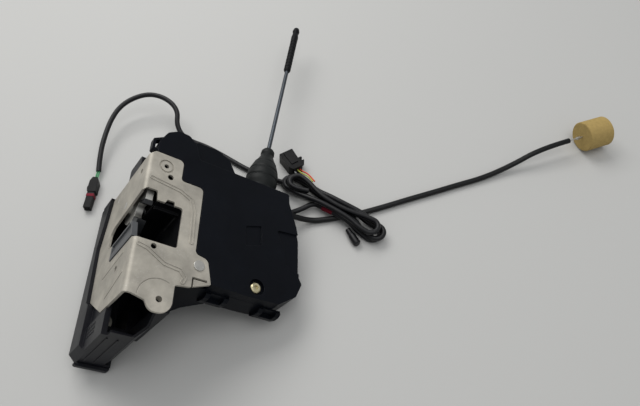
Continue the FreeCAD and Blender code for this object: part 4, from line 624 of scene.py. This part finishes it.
# %% Tree for blocks in rows
def geometry_tree(name, inputs):
    """Geometry Nodes tree with a geometry socket each way and the named inputs."""
    tree = bpy.data.node_groups.new(name, "GeometryNodeTree")
    tree.is_modifier = True
    add_sockets(tree, "INPUT", [("Geometry", "Geometry")] + inputs)
    add_sockets(tree, "OUTPUT", [("Geometry", "Geometry")])
    print("tree", name)
    return tree, tree.nodes.new("NodeGroupInput").outputs, tree.nodes.new("NodeGroupOutput").inputs


rows_tree, rows_in, rows_out = geometry_tree("blocks_in_rows", [
    ("Columns", "Int", 3), ("Column Step", "Vector", (1, 0, 0)), ("Rows", "Int", 2),
    ("Row Step", "Vector", (0, 1, 0)), ("Block", "Vector", (1, 1, 1)), ("Start", "Vector", (0, 0, 0)),
    ("Material", "Material"),
])
block = node(rows_tree, "GeometryNodeMeshCube", Size=rows_in["Block"])
column = node(rows_tree, "GeometryNodeMeshLine", {"mode": "OFFSET"}, Count=rows_in["Columns"],
              Offset=rows_in["Column Step"])
blocks = node(rows_tree, "GeometryNodeInstanceOnPoints", Points=column.outputs[0],
              Instance=block.outputs[0])
rows = node(rows_tree, "GeometryNodeMeshLine", {"mode": "OFFSET"}, Count=rows_in["Rows"],
            Start_Location=rows_in["Start"], Offset=rows_in["Row Step"])
grid = node(rows_tree, "GeometryNodeInstanceOnPoints", Points=rows.outputs[0], Instance=blocks.outputs[0])
real = node(rows_tree, "GeometryNodeRealizeInstances", Geometry=grid.outputs[0])
painted = node(rows_tree, "GeometryNodeSetMaterial", Geometry=real.outputs[0],
               Material=rows_in["Material"])
rows_tree.links.new(painted.outputs[0], rows_out[0])

# %% [markdown]
# The modifier sits on a carrier object that only exists until its mesh is read. For the blocks the
# carrier is an empty mesh, and for tape on a cord it is a bare copy of that cord's own curve. An input
# is set by its socket's identifier, because the modifier doesn't know the socket by its name, and the
# result is a plain mesh, because the export keeps no instances.

# %% Grow a mesh from a tree
def grown(name, tree, values, data=None):
    """Plain mesh that a tree makes with these values."""
    carrier = add_object(name + "_carrier", data or bpy.data.meshes.new(name + "_carrier"))
    modifier = carrier.modifiers.new(tree.name, "NODES")
    modifier.node_group = tree
    for item in tree.interface.items_tree:
        if item.item_type == "SOCKET" and item.in_out == "INPUT" and item.name in values:
            modifier[item.identifier] = values[item.name]
    evaluated = carrier.evaluated_get(bpy.context.evaluated_depsgraph_get())
    mesh = bpy.data.meshes.new_from_object(evaluated)
    mesh.name = name
    bpy.data.objects.remove(carrier)
    return mesh


# %% [markdown]
# The housing's tail carries a patch of small raised blocks on its side and two long ribs below. Both
# are the same tree with other numbers, in the drawing's millimetres, then tipped with the lock.

# %% Moulded marks on the tail
MARKS = {
    "tail_blocks": {
        "Columns": 3, "Column Step": (0.0, -3.4, 0.0), "Rows": 4, "Row Step": (0.0, 0.0, -4.2),
        "Block": (0.5, 1.8, 2.6), "Start": (-0.1, -35.5, -57.0),
    },
    "tail_ribs": {
        "Columns": 2, "Column Step": (8.0, 0.0, 0.0), "Rows": 1, "Block": (1.2, 0.8, 54.0),
        "Start": (6.5, -52.2, -66.0),
    },
}
for name, values in MARKS.items():
    marks = grown(name, rows_tree, {**values, "Material": FINISHES["latch_plastic"]})
    marks.transform(LOCK)
    keep(merged(name, marks), "case", "latch_plastic")

# %% [markdown]
# Red tape is wound round the lead where it enters the hank. A tube beside the lead would have to be
# bent again with every change, so its tree takes the lead's own curve, trims it to the taped stretch
# and sweeps a circle along it.

# %% Tape on the lead
CURVE_POINTS = 700
TAPE_SIDES = 20
TAPE_THICKNESS = 0.2 * MM
TAPE_FROM = in_hank(46.0, -6.6, 6.4)
TAPE_TO = in_hank(57.0, -6.8, 8.0)
tape_tree, tape_in, tape_out = geometry_tree("tape_on_cord", [
    ("Start", "Float", 0.1), ("End", "Float", 0.2), ("Radius", "Float", 0.003),
    ("Points", "Int", CURVE_POINTS), ("Material", "Material"),
])
even = node(tape_tree, "GeometryNodeResampleCurve", Curve=tape_in["Geometry"], Count=tape_in["Points"])
taped = node(tape_tree, "GeometryNodeTrimCurve", Curve=even.outputs[0], _2=tape_in["Start"],
             _3=tape_in["End"])
ring = node(tape_tree, "GeometryNodeCurvePrimitiveCircle", Resolution=TAPE_SIDES, Radius=tape_in["Radius"])
tube = node(tape_tree, "GeometryNodeCurveToMesh", Curve=taped.outputs[0], Profile_Curve=ring.outputs[0],
            Fill_Caps=True)
coat = node(tape_tree, "GeometryNodeSetMaterial", Geometry=tube.outputs[0], Material=tape_in["Material"])
tape_tree.links.new(coat.outputs[0], tape_out[0])


def share_at(spot):
    """Share of the harness's length at its point nearest to a spot."""
    nearest = min(range(len(HARNESS_LINE)), key=lambda index: (HARNESS_LINE[index] - spot).length)
    return line_length(HARNESS_LINE[:nearest + 1]) / HARNESS_LENGTH


bare_curve = harness.data.copy()
bare_curve.bevel_depth = 0.0
tape = merged("lead_tape", grown("lead_tape", tape_tree, {
    "Start": share_at(TAPE_FROM), "End": share_at(TAPE_TO), "Radius": LEAD_RADIUS + TAPE_THICKNESS,
    "Points": CURVE_POINTS, "Material": FINISHES["tape_red"],
}, bare_curve))
keep(tape, "case", "band_red")

# %% [markdown]
# The cords lie where they are and hang on the case. Each one stands for the CAD nodes of its cord,
# which are hidden.

# %% Ride the cords
keep(sheath, "case", "sheath_plastic", "cable_sheath")
keep(harness, "case", "sleeve_rubber", "harness_lead", "harness_hank")
keep(side_lead, "case", "sleeve_rubber", "side_lead")
for wire in wires:
    keep(wire, "case", "wire_colours", "connector_wires")

# %% [markdown]
# The photograph's table is one pale matt surface that reaches past the picture's edges. One large
# square under the lock gives the same. It is stage, not part of the lock.

# %% Table
REACH = 6.0
TABLE_DROP = 0.0002
TABLE_COLOUR = (0.47, 0.468, 0.455, 1)
TABLE_ROUGHNESS = 0.6
floor_mesh = bpy.data.meshes.new("table_top")
corners = [(-REACH, -REACH, 0), (REACH, -REACH, 0), (REACH, REACH, 0), (-REACH, REACH, 0)]
floor_mesh.from_pydata(corners, [], [(0, 1, 2, 3)])
floor = add_object("table_top", floor_mesh)
floor.location.z = -TABLE_DROP
floor_look = bpy.data.materials.new("table_top")
floor_look.use_nodes = True
floor_shader = floor_look.node_tree.nodes["Principled BSDF"].inputs
floor_shader["Base Color"].default_value = TABLE_COLOUR
floor_shader["Roughness"].default_value = TABLE_ROUGHNESS
floor_mesh.materials.append(floor_look)
print("table", 2 * REACH, "m square")

# %% [markdown]
# The photograph was taken in soft daylight from a window behind the table. An even world gives the
# light from all round, and two wide lamps give the broad highlight on the metal and the soft shadows.
# A small lamp would draw hard shadows that the photograph doesn't have.

# %% Daylight
world = bpy.data.worlds.new("daylight")
world.use_nodes = True
sky = world.node_tree.nodes["Background"].inputs
sky["Color"].default_value = (0.96, 0.98, 1.0, 1)
sky["Strength"].default_value = 0.5
scene.world = world


def lamp(name, place, size, watts, colour):
    """Wide lamp that looks at the middle of the table."""
    data = bpy.data.lights.new(name, "AREA")
    data.shape = "RECTANGLE"
    data.size, data.size_y = size
    data.energy = watts
    data.color = colour
    made = add_object(name, data)
    made.location = place
    made.rotation_euler = (-Vector(place)).to_track_quat("-Z", "Y").to_euler()
    print("lamp", name, watts, "W")


lamp("window", (-0.5, 0.9, 1.3), (1.4, 0.9), 17.0, (1.0, 0.99, 0.97))
lamp("ceiling", (0.5, -0.2, 1.8), (1.2, 1.2), 8.0, (1.0, 1.0, 1.0))
scene.view_settings.view_transform = "Standard"
